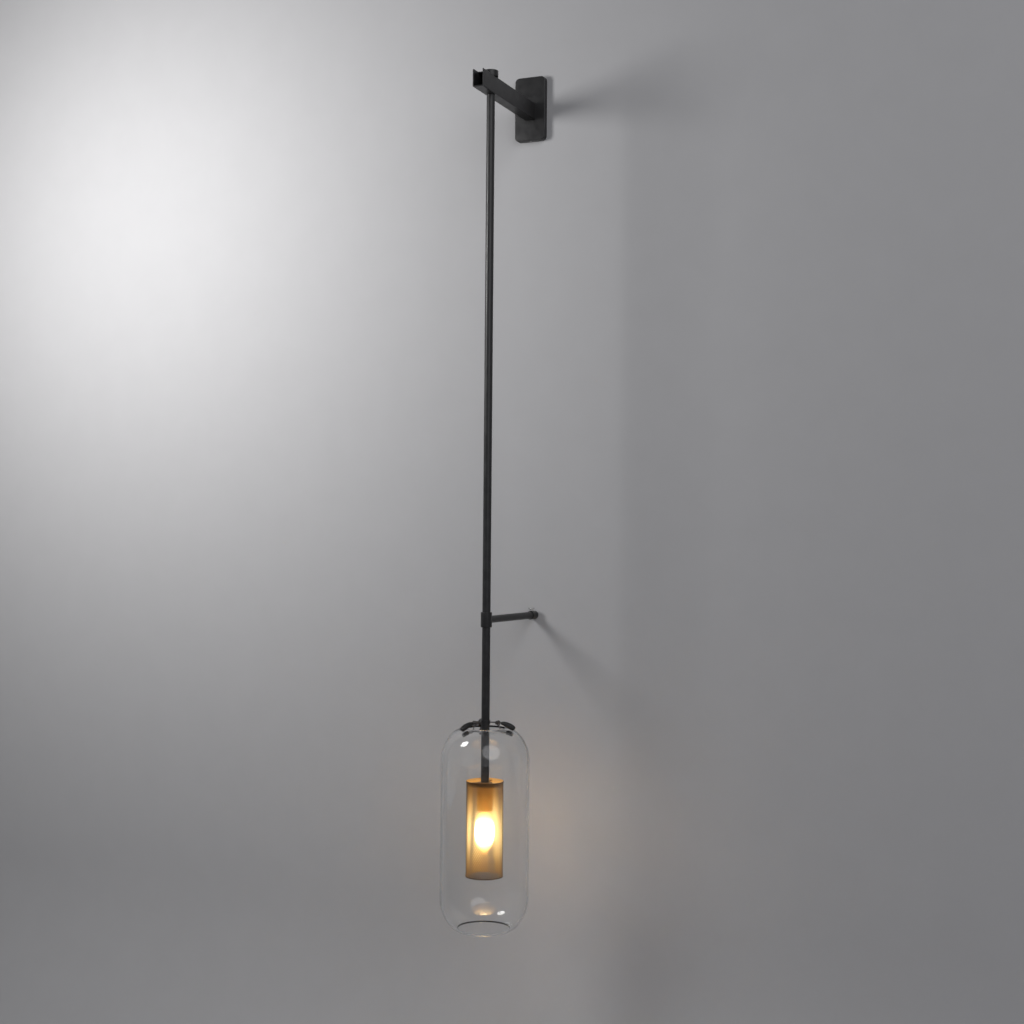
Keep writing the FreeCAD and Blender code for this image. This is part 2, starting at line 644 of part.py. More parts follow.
def make_thumb_screw():
    """The thumb screw that locks the bar in the cup."""
    foot = "(bar_diameter/2 + 2*fit)"
    seat = "(cup_diameter/2 + fit)"
    top = f"({seat} + thumb_neck_height)"
    screw = turned([
        ("0", foot), ("thumb_shank/2", foot), ("thumb_shank/2", seat), ("thumb_neck/2", seat),
        ("thumb_neck/2", top), ("thumb_head/2", top), ("thumb_head/2", f"{top} + thumb_head_height"),
        ("0", f"{top} + thumb_head_height"),
    ], **bar_at(f"{BAR_RUN} - thumb_depth"))
    node("thumb_screw", screw)


# ---- glass shade ----

def make_glass():
    """The clear capsule: a crown and a shoulder arc at each end, open at both ends."""
    hole = "(glass_hole/2)"
    side = "(glass_diameter/2)"
    across = f"({side} - {hole})"
    crown = "glass_crown"
    flank = (f"(({across}^2 + glass_shoulder^2 - 2*glass_shoulder*{crown})"
             f" / (2*({across} - {crown})))")
    lean = f"(({flank} - {across}) / ({flank} - {crown}))"
    rise = f"((glass_shoulder - {crown}) / ({flank} - {crown}))"
    mouth_run = f"(glass_mouth/2 - {hole})"
    mouth_drop = f"sqrt({crown}^2 - {mouth_run}^2)"
    low_centre = f"({mouth_drop} - glass_height)"
    straight_end = f"({low_centre} + glass_shoulder - {crown})"

    def half_section(wall):
        arc = f"({crown} - {wall})"
        big = f"({flank} - {wall})"
        share = f"({arc} / {crown})"
        return arc, big, [
            (hole, f"-{wall}"),
            (f"{hole} + {arc}*{lean}", f"{arc}*{rise} - {crown}"),
            (f"{side} - {wall}", "-glass_shoulder"),
            (f"{side} - {wall}", straight_end),
            (f"{hole} + {arc}*{lean}", f"{low_centre} - {arc}*{rise}"),
            (f"{hole} + {mouth_run}*{share}", f"{low_centre} - {mouth_drop}*{share}"),
        ]

    arc, big, outer = half_section("0*glass_wall")
    arcs = [(arc, -1), (big, -1), (), (big, -1), (arc, -1), ()]
    outline = [corner + bend for corner, bend in zip(outer, arcs)]
    arc, big, inner = half_section("glass_wall")
    arcs = [(arc, 1), (big, 1), (), (big, 1), (arc, 1), ()]
    outline += [corner + bend for corner, bend in zip(reversed(inner), arcs)]
    glass = turned(outline, y="-reach", z=GLASS_TOP)
    bottom = glass.Tip.Shape.BoundBox.ZMin
    margin = value("glass_wall + fit")

    def is_rim(edge):
        high = edge.BoundBox.ZMin > -margin
        low = edge.BoundBox.ZMax < bottom + margin
        return edge.BoundBox.ZLength < 0.001 and (high or low)

    node("glass_shade", rounded(glass, "glass_edge", is_rim))


# ---- sprung clips ----

def placed_clip(name, number, thing):
    """Set a clip's piece round the rod at the height of the pins."""
    thing.Placement.Rotation.Axis = Vector(0, 0, 1)
    bind(thing, y="-reach", z=PIN_LEVEL)
    thing.setExpression(".Placement.Rotation.Angle",
                        on_sheet(f"clip_angle + {number}*360/clip_count"))
    return node(f"{name}_{number + 1}", thing)


def solid_feature(shape):
    """A shape made by calculation, as an object of the document."""
    thing = doc.addObject("Part::Feature", "Shaped")
    thing.Shape = shape
    return thing


def eye(inner_face, width, bore):
    """A ring round the pin, from its inner face out along the pin."""
    outer = Part.makeCylinder(value("eye_diameter/2"), width, Vector(0, inner_face, 0), Vector(0, 1, 0))
    hole = Part.makeCylinder(bore, width, Vector(0, inner_face, 0), Vector(0, 1, 0))
    return outer.cut(hole)


def bent_wire(radius, centre, bend, start, sweep):
    """A round wire on an arc in the XZ plane; its angles are from the arc's top."""
    at, direction = along(centre, bend, start)
    section = Part.Face(Part.Wire(Part.makeCircle(radius, at, direction)))
    return section.revolve(centre, Vector(0, 1, 0), math.degrees(sweep))


def straight_wire(radius, start, end):
    """A round wire from one point to another."""
    return Part.makeCylinder(radius, (end - start).Length, start, end - start)


def make_clip_hub():
    """The slim ring brazed on the rod that the clip wires are set in."""
    half = "hub_height/2"
    hub = turned(ring("(rod_diameter/2 + fit)", "hub_diameter/2", f"-{half}", half),
                 y="-reach", z=PIN_LEVEL)
    holes = []
    for number in range(round(value("clip_count"))):
        hole = cylinder("arm_wire/2 + fit", "hub_diameter", "x", z=PIN_LEVEL)
        aim_round_rod(hole, "arm_wire_start", f"clip_angle + {number}*360/clip_count")
        holes.append(hole)
    node("clip_hub", cut(hub, *holes))


def aim_round_rod(thing, start, turn):
    """Point a level cylinder outward from the rod, from a radius, at an angle."""
    thing.Placement.Rotation = Rotation(Vector(0, 0, 1), value(turn)) * Rotation(Vector(0, 1, 0), 90)
    bind(thing, x=f"({start})*cos(({turn})*1deg)", y=f"({start})*sin(({turn})*1deg) - reach")


def make_clip_wire(number):
    """The wire from the hub out to the pin, with an eye at its end."""
    pin = value("clip_radius")
    middle = eye(-value("wire_eye_width/2"), value("wire_eye_width"), value("pin_diameter/2 + fit"))
    middle.translate(Vector(pin, 0, 0))
    end = value("clip_radius - eye_diameter/4 - pin_diameter/4 - fit/2")
    wire = straight_wire(value("arm_wire/2"), Vector(value("arm_wire_start"), 0, 0), Vector(end, 0, 0))
    placed_clip("clip_wire", number, solid_feature(middle.fuse(wire).removeSplitter()))


def make_clip_pin(number):
    """The pin that both prongs swing on."""
    length = value("pin_length")
    place = Vector(value("clip_radius"), -length / 2, 0)
    pin = Part.makeCylinder(value("pin_diameter/2"), length, place, Vector(0, 1, 0))
    placed_clip("clip_pin", number, solid_feature(pin))


def make_clip_spring(number):
    """Two short torsion coils round the pin, one each side of the wire's eye."""
    pitch = value("spring_pitch")
    mean = value("spring_radius")
    section = Part.Wire(Part.makeCircle(value("spring_wire/2"), Vector(mean, 0, 0), Vector(0, 1, 0)))
    path = Part.Wire(Part.makeHelix(pitch, pitch * value("spring_turns"), mean))
    coil = path.makePipeShell([section], True, True)
    pin = value("clip_radius")
    coils = []
    for side in (1, -1):
        half = coil.copy()
        half.rotate(Vector(), Vector(1, 0, 0), -90 * side)
        half.translate(Vector(pin, value("spring_start") * side, 0))
        coils.append(half)
    placed_clip("clip_spring", number, solid_feature(Part.makeCompound(coils)))


def prong_cheeks(inner_face, aim, reach_out):
    """Two eyes with flat arms that run out to a cross bar, which the prong's wire leaves."""
    sheet_width = value("cheek_sheet")
    thick = value("prong_wire")
    bore = value("pin_diameter/2 + fit")
    parts = []
    for side in (inner_face, -inner_face - sheet_width):
        arm = Part.makeBox(reach_out, sheet_width, thick, Vector(0, side, -thick / 2))
        hole = Part.makeCylinder(bore, sheet_width, Vector(0, side, 0), Vector(0, 1, 0))
        parts.append(eye(side, sheet_width, bore).fuse(arm.cut(hole)))
    width = 2 * (inner_face + sheet_width)
    bar = Part.makeBox(thick, width, thick, Vector(reach_out - thick, -width / 2, -thick / 2))
    cheeks = bar.fuse(parts)
    cheeks.rotate(Vector(), Vector(0, 1, 0), math.degrees(aim))
    cheeks.translate(Vector(value("clip_radius"), 0, 0))
    return cheeks


def along(centre, bend, angle):
    """A point on an arc, and the arc's direction there; the angle is from its top."""
    outward = Vector(math.sin(angle), 0, math.cos(angle))
    return centre + outward * bend, Vector(math.cos(angle), 0, -math.sin(angle))


def pad_arc():
    """The upper pad's middle line, from the pin to a tip that rests on the glass.

    It gives the arc's centre and bend, and its angles at the pin and at the tip.
    """
    pin = Vector(value("clip_radius"), 0, 0)
    crown = Vector(value("glass_hole/2"), 0, value("-clip_rise - glass_crown"))
    run = value("pad_reach") - crown.x
    away = value("glass_crown + cushion + pad_tip")
    tip = Vector(value("pad_reach"), 0, crown.z + math.sqrt(away ** 2 - run ** 2))
    bend = value("pad_arc")
    chord = tip - pin
    inward = Vector(chord.z, 0, -chord.x).normalize()
    centre = (pin + tip) / 2 + inward * math.sqrt(bend ** 2 - (chord.Length / 2) ** 2)
    angles = [math.atan2(point.x - centre.x, point.z - centre.z) for point in (pin, tip)]
    return centre, bend, *angles


def make_upper_prong(number):
    """The prong over the glass: cheeks on the pin, then a bent wire inside the pad."""
    centre, bend, first, last = pad_arc()
    bridge = value("prong_bridge - clip_radius")
    start = first + bridge / bend
    end = last - value("prong_tail") / bend
    wire = bent_wire(value("prong_wire/2"), centre, bend, start, end - start)
    cheeks = prong_cheeks(value("upper_cheek"), (first + start) / 2, bridge)
    placed_clip("upper_prong", number, solid_feature(cheeks.fuse(wire).removeSplitter()))


def make_upper_pad(number):
    """The padded sleeve over the upper prong: slim at its ends and full in the middle."""
    centre, bend, pin, last = pad_arc()
    first = pin + value("pad_start") / bend
    girths = []
    for share, swell in PAD_SWELL:
        slim = value(f"pad_root + (pad_tip - pad_root)*{share}")
        girths.append((share, slim + (value("pad_belly") - slim) * swell))
    girths.append((1, value("pad_nose")))
    sections = []
    for share, radius in girths:
        at, direction = along(centre, bend, first + (last - first) * share)
        sections.append(Part.Wire(Part.makeCircle(radius, at, direction)))
    sleeve = Part.makeLoft(sections, True, False)
    end = last - value("prong_tail") / bend
    bore = bent_wire(value("prong_wire/2 + fit"), centre, bend, pin, end - pin)
    placed_clip("upper_pad", number, solid_feature(sleeve.cut(bore)))


def lower_arc():
    """The lower sleeve's middle line, which follows the inside of the glass's crown."""
    centre = Vector(value("glass_hole/2"), 0, value("-clip_rise - glass_crown"))
    bend = value("glass_crown - glass_wall - cushion - sleeve_radius")
    return centre, bend


def make_lower_prong(number):
    """The prong under the glass: down through the hole, then out under the crown."""
    centre, bend = lower_arc()
    radius = value("prong_wire/2")
    knee = Vector(value("lower_drop"), 0, centre.z + bend)
    pin = Vector(value("clip_radius"), 0, 0)
    down = knee - pin
    aim = math.atan2(-down.z, down.x)
    bridge = value("prong_bridge - clip_radius")
    start = pin + down.normalize() * (bridge - radius)
    end = math.asin((value("sleeve_end - prong_wire/2") - centre.x) / bend)
    parts = [
        straight_wire(radius, start, knee),
        Part.makeSphere(radius, knee),
        straight_wire(radius, knee, Vector(centre.x, 0, knee.z)),
        bent_wire(radius, centre, bend, 0, end),
    ]
    cheeks = prong_cheeks(value("lower_cheek"), aim, bridge)
    placed_clip("lower_prong", number, solid_feature(cheeks.fuse(parts).removeSplitter()))


def make_lower_sleeve(number):
    """The soft sleeve on the lower prong's end, against the inside of the glass."""
    centre, bend = lower_arc()
    start = math.asin((value("sleeve_start") - centre.x) / bend)
    end = math.asin((value("sleeve_end") - centre.x) / bend)
    radius = value("sleeve_radius")
    sleeve = bent_wire(radius, centre, bend, start, end - start)
    tip_edges = [edge for edge in sleeve.Edges if edge.Curve.TypeId == "Part::GeomCircle"
                 and abs(edge.Curve.Radius - radius) < 0.001]
    sleeve = sleeve.makeFillet(value("sleeve_edge"), tip_edges)
    stop = math.asin((value("sleeve_end - prong_wire/2") - centre.x) / bend)
    bore = bent_wire(value("prong_wire/2 + fit"), centre, bend, 0, stop)
    placed_clip("lower_sleeve", number, solid_feature(sleeve.cut(bore)))


# ---- perforated shade and lampholder ----

def make_nipple():
    """The threaded tube that joins rod, spider and lampholder, with its nut."""
    tube = turned(ring("nipple_bore/2", "nipple_diameter/2 - fit", "-nipple_below", "nipple_above"),
                  y="-reach", z=ROD_END)
    node("nipple", tube)
    prism = doc.addObject("Part::Prism", "Hexagon")
    bind(prism, Polygon="6", Circumradius="nut_width/2/cos(30deg)", Height="nut_height",
         y="-reach", z=f"{HOLDER_TOP} - holder_roof - nut_height")
    bore = cylinder("nipple_diameter/2", "nut_height", y="-reach",
                    z=f"{HOLDER_TOP} - holder_roof - nut_height")
    node("nipple_nut", cut(prism, bore))


def make_spider():
    """The spider that carries the perforated shade: hub, three spokes and a ring."""
    hub = cylinder("spider_hub/2", "spider_sheet", y="-reach", z=HOLDER_TOP)
    inside = "(mesh_diameter/2 - mesh_sheet - fit)"
    band = turned(ring(f"{inside} - spider_ring", inside, "-spider_ring_height", "0"),
                  y="-reach", z=ROD_END)
    spokes = []
    for number in range(round(value("spoke_count"))):
        spoke = box(f"{inside} - spider_ring/2", "spoke_width", "spider_sheet", z=HOLDER_TOP)
        turn = f"spoke_angle + {number}*360/spoke_count"
        spoke.Placement.Rotation = Rotation(Vector(0, 0, 1), value(turn))
        bind(spoke, x=f"spoke_width/2*sin(({turn})*1deg)",
             y=f"-spoke_width/2*cos(({turn})*1deg) - reach")
        spokes.append(spoke)
    bore = cylinder("nipple_diameter/2 + fit", "spider_sheet + 2*overrun", y="-reach",
                    z=f"{HOLDER_TOP} - overrun")
    node("shade_spider", cut(fuse(hub, band, *spokes), bore))


def make_mesh_shade():
    """The perforated cylinder as a plain tube, and the bands round its two rims."""
    top = f"({ROD_END} + mesh_rise)"
    outer = "mesh_diameter/2"
    node("mesh_shade", turned(ring(f"{outer} - mesh_sheet", outer, "-mesh_height", "0"),
                              y="-reach", z=top))
    band = (f"{outer} + fit", f"{outer} + fit + rim_sheet")
    node("upper_rim", turned(ring(*band, "-rim_height", "0"), y="-reach", z=top))
    node("lower_rim", turned(ring(*band, "-mesh_height", "rim_height - mesh_height"),
                             y="-reach", z=top))


def make_lampholder():
    """The lampholder: metal sleeve, insulating core, threaded shell and middle contact."""
    place = {"y": "-reach", "z": HOLDER_TOP}
    outer = "holder_diameter/2"
    inner = f"({outer} - holder_sheet)"
    opening = "(nipple_diameter/2 + fit)"
    sleeve = turned([
        (inner, "-holder_length"), (outer, "-holder_length"), (outer, "0"),
        (opening, "0"), (opening, "-holder_roof"), (inner, "-holder_roof"),
    ], **place)
    node("holder_sleeve", rounded(sleeve, "holder_edge",
                                  lambda edge: edge.BoundBox.ZLength < 0.001
                                  and abs(edge.BoundBox.ZMin) < 0.001
                                  and edge.BoundBox.XMax > value(outer) - 0.001))
    bore = "(socket_diameter/2 + socket_sheet + fit)"
    node("holder_core", turned([
        (bore, "-holder_length"), (f"{inner} - fit", "-holder_length"),
        (f"{inner} - fit", CORE_TOP), ("0", CORE_TOP),
        ("0", SOCKET_ROOF), (bore, SOCKET_ROOF),
    ], **place))
    shell_foot = "(socket_lip - holder_length)"
    node("holder_thread", turned(
        ring("socket_diameter/2", "socket_diameter/2 + socket_sheet", shell_foot,
             f"({shell_foot} + socket_length)"), **place))
    node("holder_contact", turned(
        ring("0", "contact_diameter/2", f"{SOCKET_ROOF} - contact_height", SOCKET_ROOF), **place))


# ---- candle lamp ----

def belly_arc(run, rise):
    """The radius of an arc that is upright at the bulb's widest place."""
    return f"((({run})^2 + ({rise})^2) / (2*({run})))"


def bulb_outline(wall):
    """The bulb's half section: neck, belly and rounded tip, less a wall."""
    wide = f"(bulb_diameter/2 - {wall})"
    neck = f"(bulb_neck/2 - {wall})"
    tip = f"(bulb_tip_diameter/2 - {wall})"
    tip_top = "(bulb_tip_length - bulb_length)"
    end = f"({wall} - bulb_length)"
    upper = belly_arc(f"{wide} - {neck}", "bulb_belly_drop")
    lower = belly_arc(f"{wide} - {tip}", "bulb_length - bulb_tip_length - bulb_belly_drop")
    nose = f"({tip} + bulb_nose)"
    return [
        ("0", "0"), ("0", end, nose, 1), (tip, tip_top, lower, 1),
        (wide, "-bulb_belly_drop", upper, 1), (neck, "0"),
    ]


def make_lamp():
    """The candle lamp: cap, insulator, contact, bulb, stem and filament sticks."""
    place = {"y": "-reach", "z": LAMP_NECK}
    cap_top = "lamp_cap_length"
    insulator_top = f"({cap_top} + lamp_insulator_length)"
    node("lamp_cap", turned(ring("0", "lamp_cap_diameter/2", "0", cap_top), **place))
    node("lamp_insulator", turned([
        ("0", cap_top), ("lamp_cap_diameter/2", cap_top),
        ("lamp_insulator_diameter/2", insulator_top), ("0", insulator_top),
    ], **place))
    node("lamp_contact", turned(
        ring("0", "lamp_contact_diameter/2", insulator_top,
             f"({insulator_top} + lamp_contact_height)"), **place))
    outer = turned(bulb_outline("0*bulb_wall"), **place)
    inner = turned(bulb_outline("bulb_wall"), **place)
    node("lamp_bulb", cut(outer, inner))
    node("lamp_stem", turned(ring("0", "stem_diameter/2", "-stem_length", "0"), **place))
    sticks = []
    count = round(value("filament_count"))
    for number in range(count):
        turn = f"({number}*360/filament_count)*1deg"
        sticks.append(cylinder("filament_diameter/2", "filament_length",
                               x=f"filament_circle/2*cos({turn})",
                               y=f"filament_circle/2*sin({turn}) - reach",
                               z=f"{LAMP_NECK} - stem_length - filament_length"))
    node("lamp_filament", fuse(*sticks))


def build():
    """Make every sub-part."""
    make_wall_plate()
    make_mounting_bracket()
    make_canopy_screws()
    make_terminals()
    make_earth_screw()
    make_arm()
    make_root_block()
    make_cap()
    make_rod()
    make_lead()
    make_clamp()
    make_bar()
    make_cup()
    make_thumb_screw()
    make_glass()
    make_clip_hub()
    for number in range(round(value("clip_count"))):
        make_clip_wire(number)
        make_clip_pin(number)
        make_clip_spring(number)
        make_upper_prong(number)
        make_upper_pad(number)
        make_lower_prong(number)
        make_lower_sleeve(number)
    make_nipple()
    make_spider()
    make_mesh_shade()
    make_lampholder()
    make_lamp()
    doc.recompute()


def check():
    """Stop if an object failed or a sub-part is not a sound solid."""
    for thing in doc.Objects:
        if "Invalid" in thing.State or "Error" in thing.State:
            raise RuntimeError(f"{thing.Name} ({thing.Label}) failed: {thing.State}")
    for name, thing in nodes.items():
        shape = thing.Shape
        if shape.isNull() or not shape.isValid() or not shape.Solids or shape.Volume <= 0:
            raise RuntimeError(f"{name} is not a sound solid")


def write():
    """Write one STEP file for each sub-part."""
    os.makedirs("parts", exist_ok=True)
    for name, thing in nodes.items():
        thing.Shape.exportStep(f"parts/{name}.step")
        print(f"{name}: {len(thing.Shape.Solids)} solid(s), {thing.Shape.Volume:.1f} mm3")


build()
check()
write()
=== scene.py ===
import json
import math

import bmesh
import bpy
from mathutils import Matrix, Vector


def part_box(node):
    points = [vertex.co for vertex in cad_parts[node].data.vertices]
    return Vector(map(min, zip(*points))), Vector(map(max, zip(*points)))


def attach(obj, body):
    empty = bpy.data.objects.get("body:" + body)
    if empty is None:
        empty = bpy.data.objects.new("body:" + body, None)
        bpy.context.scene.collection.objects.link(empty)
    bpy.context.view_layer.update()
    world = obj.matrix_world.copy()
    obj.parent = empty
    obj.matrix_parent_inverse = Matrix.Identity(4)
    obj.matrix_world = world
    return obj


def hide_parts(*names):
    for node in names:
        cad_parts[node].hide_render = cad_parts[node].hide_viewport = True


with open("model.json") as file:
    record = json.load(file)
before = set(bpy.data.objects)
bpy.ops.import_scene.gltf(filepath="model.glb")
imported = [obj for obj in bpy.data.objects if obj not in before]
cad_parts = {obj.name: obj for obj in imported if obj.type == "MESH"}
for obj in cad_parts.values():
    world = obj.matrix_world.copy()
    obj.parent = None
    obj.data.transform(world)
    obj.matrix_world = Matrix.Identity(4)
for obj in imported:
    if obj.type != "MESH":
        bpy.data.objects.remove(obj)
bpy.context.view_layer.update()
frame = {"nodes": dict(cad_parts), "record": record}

# A black wall light: arm, long rod and stand-off, a clear glass capsule in sprung
# clips, and a brass diamond mesh round a glowing candle lamp. Metres, +Z up, wall at y = 0.

cadNodes = frame["nodes"]
nodeSlot = {row["node"]: row["material_slot"] for row in frame["record"]["subparts"]}
nodeBody = {}
for bodyName, members in frame["record"]["behaviour"]["bodies"].items():
    for member in members:
        nodeBody[member] = bodyName

rodLow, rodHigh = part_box("rod")
rodAxis = Vector(((rodLow.x + rodHigh.x) / 2, (rodLow.y + rodHigh.y) / 2, 0))
clipAngles = [4, 124, 244]      # degrees from +X, as the clips stand round the rod
print("frame loaded,", len(cadNodes), "nodes")


# ---- materials ----

def newGroup(name, inputs, outputs):
    group = bpy.data.node_groups.new(name, "ShaderNodeTree")
    for label, kind, start in inputs:
        socket = group.interface.new_socket(label, in_out="INPUT", socket_type=kind)
        if start is not None:
            socket.default_value = start
    for label, kind in outputs:
        group.interface.new_socket(label, in_out="OUTPUT", socket_type=kind)
    entry = group.nodes.new("NodeGroupInput")
    leave = group.nodes.new("NodeGroupOutput")
    return group, entry, leave


def addNode(tree, kind, **settings):
    node = tree.nodes.new(kind)
    for name, value in settings.items():
        setattr(node, name, value)
    return node


def setInputs(node, **values):
    for name, value in values.items():
        node.inputs[name.replace("_", " ")].default_value = value
    return node


def mathNode(tree, operation, first, second, clamp=False):
    node = addNode(tree, "ShaderNodeMath", operation=operation, use_clamp=clamp)
    for index, value in enumerate((first, second)):
        if isinstance(value, (int, float)):
            node.inputs[index].default_value = value
        elif value is not None:
            tree.links.new(value, node.inputs[index])
    return node.outputs[0]


def rampNode(tree, source, low, high, outLow=0.0, outHigh=1.0):
    node = addNode(tree, "ShaderNodeMapRange")
    setInputs(node, From_Min=low, From_Max=high, To_Min=outLow, To_Max=outHigh)
    tree.links.new(source, node.inputs["Value"])
    return node.outputs["Result"]


def mixColours(tree, share, first, second):
    node = addNode(tree, "ShaderNodeMix", data_type="RGBA")
    colours = node.inputs[6], node.inputs[7]
    for socket, value in zip((node.inputs["Factor"], *colours), (share, first, second)):
        if isinstance(value, bpy.types.NodeSocket):
            tree.links.new(value, socket)
        else:
            socket.default_value = value
    return node.outputs[2]


def noiseNode(tree, vector, scale, detail=3.0, rough=0.5):
    node = addNode(tree, "ShaderNodeTexNoise")
    setInputs(node, Detail=detail, Roughness=rough)
    tree.links.new(vector, node.inputs["Vector"])
    if isinstance(scale, bpy.types.NodeSocket):
        tree.links.new(scale, node.inputs["Scale"])
    else:
        node.inputs["Scale"].default_value = scale
    return node.outputs["Fac"]


def makeCoatGroup():
    # sprayed or plated skin: fine grain, cloudy gloss, handled patches and rubbed edges
    group, entry, leave = newGroup("coatedSkin", [
        ("Vector", "NodeSocketVector", None), ("Colour", "NodeSocketColor", None),
        ("Rubbed", "NodeSocketColor", None), ("Edge", "NodeSocketFloat", 0.5),
        ("Grain Scale", "NodeSocketFloat", 1500.0), ("Roughness", "NodeSocketFloat", 0.4),
        ("Spread", "NodeSocketFloat", 0.1), ("Wear", "NodeSocketFloat", 0.5),
        ("Cloudiness", "NodeSocketFloat", 0.14),
    ], [("Colour", "NodeSocketColor"), ("Roughness", "NodeSocketFloat"), ("Height", "NodeSocketFloat")])
    put = group.links.new
    grain = noiseNode(group, entry.outputs["Vector"], entry.outputs["Grain Scale"], 2.0)
    cloud = noiseNode(group, entry.outputs["Vector"], 14.0, 4.0, 0.6)
    patch = noiseNode(group, entry.outputs["Vector"], 55.0, 5.0, 0.65)
    edge = rampNode(group, entry.outputs["Edge"], 0.515, 0.60)
    broken = rampNode(group, patch, 0.42, 0.62)
    rubbed = mathNode(group, "MULTIPLY", mathNode(group, "MULTIPLY", edge, broken),
                      entry.outputs["Wear"], clamp=True)
    cloudy = mathNode(group, "MULTIPLY", rampNode(group, cloud, 0.3, 0.7, -1.0, 1.0),
                      entry.outputs["Cloudiness"])
    shade = mathNode(group, "ADD", cloudy, 1.0)
    tint = addNode(group, "ShaderNodeVectorMath", operation="SCALE")
    put(entry.outputs["Colour"], tint.inputs[0])
    put(shade, tint.inputs["Scale"])
    put(mixColours(group, rubbed, tint.outputs[0], entry.outputs["Rubbed"]), leave.inputs["Colour"])
    swing = mathNode(group, "MULTIPLY", rampNode(group, patch, 0.35, 0.65, -1.0, 1.0),
                     entry.outputs["Spread"])
    put(mathNode(group, "ADD", entry.outputs["Roughness"], swing, clamp=True), leave.inputs["Roughness"])
    put(grain, leave.inputs["Height"])
    return group


def makeDrawnGroup():
    # drawn or turned metal: streaks along one axis, uneven gloss and tarnish
    group, entry, leave = newGroup("drawnMetal", [
        ("Vector", "NodeSocketVector", None), ("Stretch", "NodeSocketVector", (900.0, 900.0, 40.0)),
        ("Colour", "NodeSocketColor", None), ("Tarnish", "NodeSocketColor", None),
        ("Tarnish Share", "NodeSocketFloat", 0.4), ("Roughness", "NodeSocketFloat", 0.25),
        ("Spread", "NodeSocketFloat", 0.1),
    ], [("Colour", "NodeSocketColor"), ("Roughness", "NodeSocketFloat"), ("Height", "NodeSocketFloat")])
    put = group.links.new
    pulled = addNode(group, "ShaderNodeVectorMath", operation="MULTIPLY")
    put(entry.outputs["Vector"], pulled.inputs[0])
    put(entry.outputs["Stretch"], pulled.inputs[1])
    streak = noiseNode(group, pulled.outputs[0], 1.0, 3.0, 0.6)
    stain = noiseNode(group, entry.outputs["Vector"], 90.0, 5.0, 0.6)
    share = mathNode(group, "MULTIPLY", rampNode(group, stain, 0.42, 0.68), entry.outputs["Tarnish Share"],
                     clamp=True)
    put(mixColours(group, share, entry.outputs["Colour"], entry.outputs["Tarnish"]), leave.inputs["Colour"])
    swing = mathNode(group, "MULTIPLY", rampNode(group, streak, 0.3, 0.7, -0.6, 1.0),
                     entry.outputs["Spread"])
    put(mathNode(group, "ADD", entry.outputs["Roughness"], swing, clamp=True), leave.inputs["Roughness"])
    put(streak, leave.inputs["Height"])
    return group


def makeHideGroup():
    # soft black sleeve: pebbled cells, creases and paler patches at random that paint a sheen
    group, entry, leave = newGroup("softHide", [
        ("Vector", "NodeSocketVector", None), ("Colour", "NodeSocketColor", None),
        ("Bloom", "NodeSocketColor", None), ("Cell Scale", "NodeSocketFloat", 900.0),
        ("Roughness", "NodeSocketFloat", 0.5),
    ], [("Colour", "NodeSocketColor"), ("Roughness", "NodeSocketFloat"), ("Height", "NodeSocketFloat")])
    put = group.links.new
    cells = addNode(group, "ShaderNodeTexVoronoi", feature="DISTANCE_TO_EDGE")
    put(entry.outputs["Vector"], cells.inputs["Vector"])
    put(entry.outputs["Cell Scale"], cells.inputs["Scale"])
    pebble = rampNode(group, cells.outputs["Distance"], 0.0, 0.25)
    patch = noiseNode(group, entry.outputs["Vector"], 160.0, 4.0, 0.6)
    # painted sheen: noise patches mix the black towards a paler grey
    paintedSheen = rampNode(group, patch, 0.45, 0.75, 0.0, 0.8)
    put(mixColours(group, paintedSheen, entry.outputs["Colour"], entry.outputs["Bloom"]), leave.inputs["Colour"])
    swing = rampNode(group, patch, 0.3, 0.7, -0.1, 0.12)
    put(mathNode(group, "ADD", entry.outputs["Roughness"], swing), leave.inputs["Roughness"])
    pebbles = mathNode(group, "MULTIPLY", pebble, 0.6)
    creases = mathNode(group, "MULTIPLY", patch, 0.8)
    put(mathNode(group, "ADD", pebbles, creases), leave.inputs["Height"])
    return group


coatGroup = makeCoatGroup()
drawnGroup = makeDrawnGroup()
hideGroup = makeHideGroup()


def newMaterial(name, **sockets):
    material = bpy.data.materials.new(name)
    material.use_nodes = True
    tree = material.node_tree
    tree.nodes.clear()
    output = tree.nodes.new("ShaderNodeOutputMaterial")
    shader = tree.nodes.new("ShaderNodeBsdfPrincipled")
    tree.links.new(shader.outputs["BSDF"], output.inputs["Surface"])
    setInputs(shader, **sockets)
    return material, tree, shader, output


def placeGroup(tree, group, shader, bumpDepth, bumpStrength=0.5, **values):
    place = tree.nodes.new("ShaderNodeTexCoord")
    box = tree.nodes.new("ShaderNodeGroup")
    box.node_tree = group
    setInputs(box, **values)
    tree.links.new(place.outputs["Object"], box.inputs["Vector"])
    tree.links.new(box.outputs["Colour"], shader.inputs["Base Color"])
    tree.links.new(box.outputs["Roughness"], shader.inputs["Roughness"])
    bump = addNode(tree, "ShaderNodeBump")
    setInputs(bump, Distance=bumpDepth, Strength=bumpStrength)
    tree.links.new(box.outputs["Height"], bump.inputs["Height"])
    tree.links.new(bump.outputs["Normal"], shader.inputs["Normal"])
    return box


def coatedMaterial(name, colour, rubbed, roughness, grain=1500.0, depth=0.00002, wear=0.5, spread=0.08,
                   **sockets):
    material, tree, shader, _ = newMaterial(name, **sockets)
    box = placeGroup(tree, coatGroup, shader, depth, Colour=(*colour, 1), Rubbed=(*rubbed, 1),
                     Roughness=roughness, Grain_Scale=grain, Wear=wear, Spread=spread)
    form = tree.nodes.new("ShaderNodeNewGeometry")
    tree.links.new(form.outputs["Pointiness"], box.inputs["Edge"])
    return material


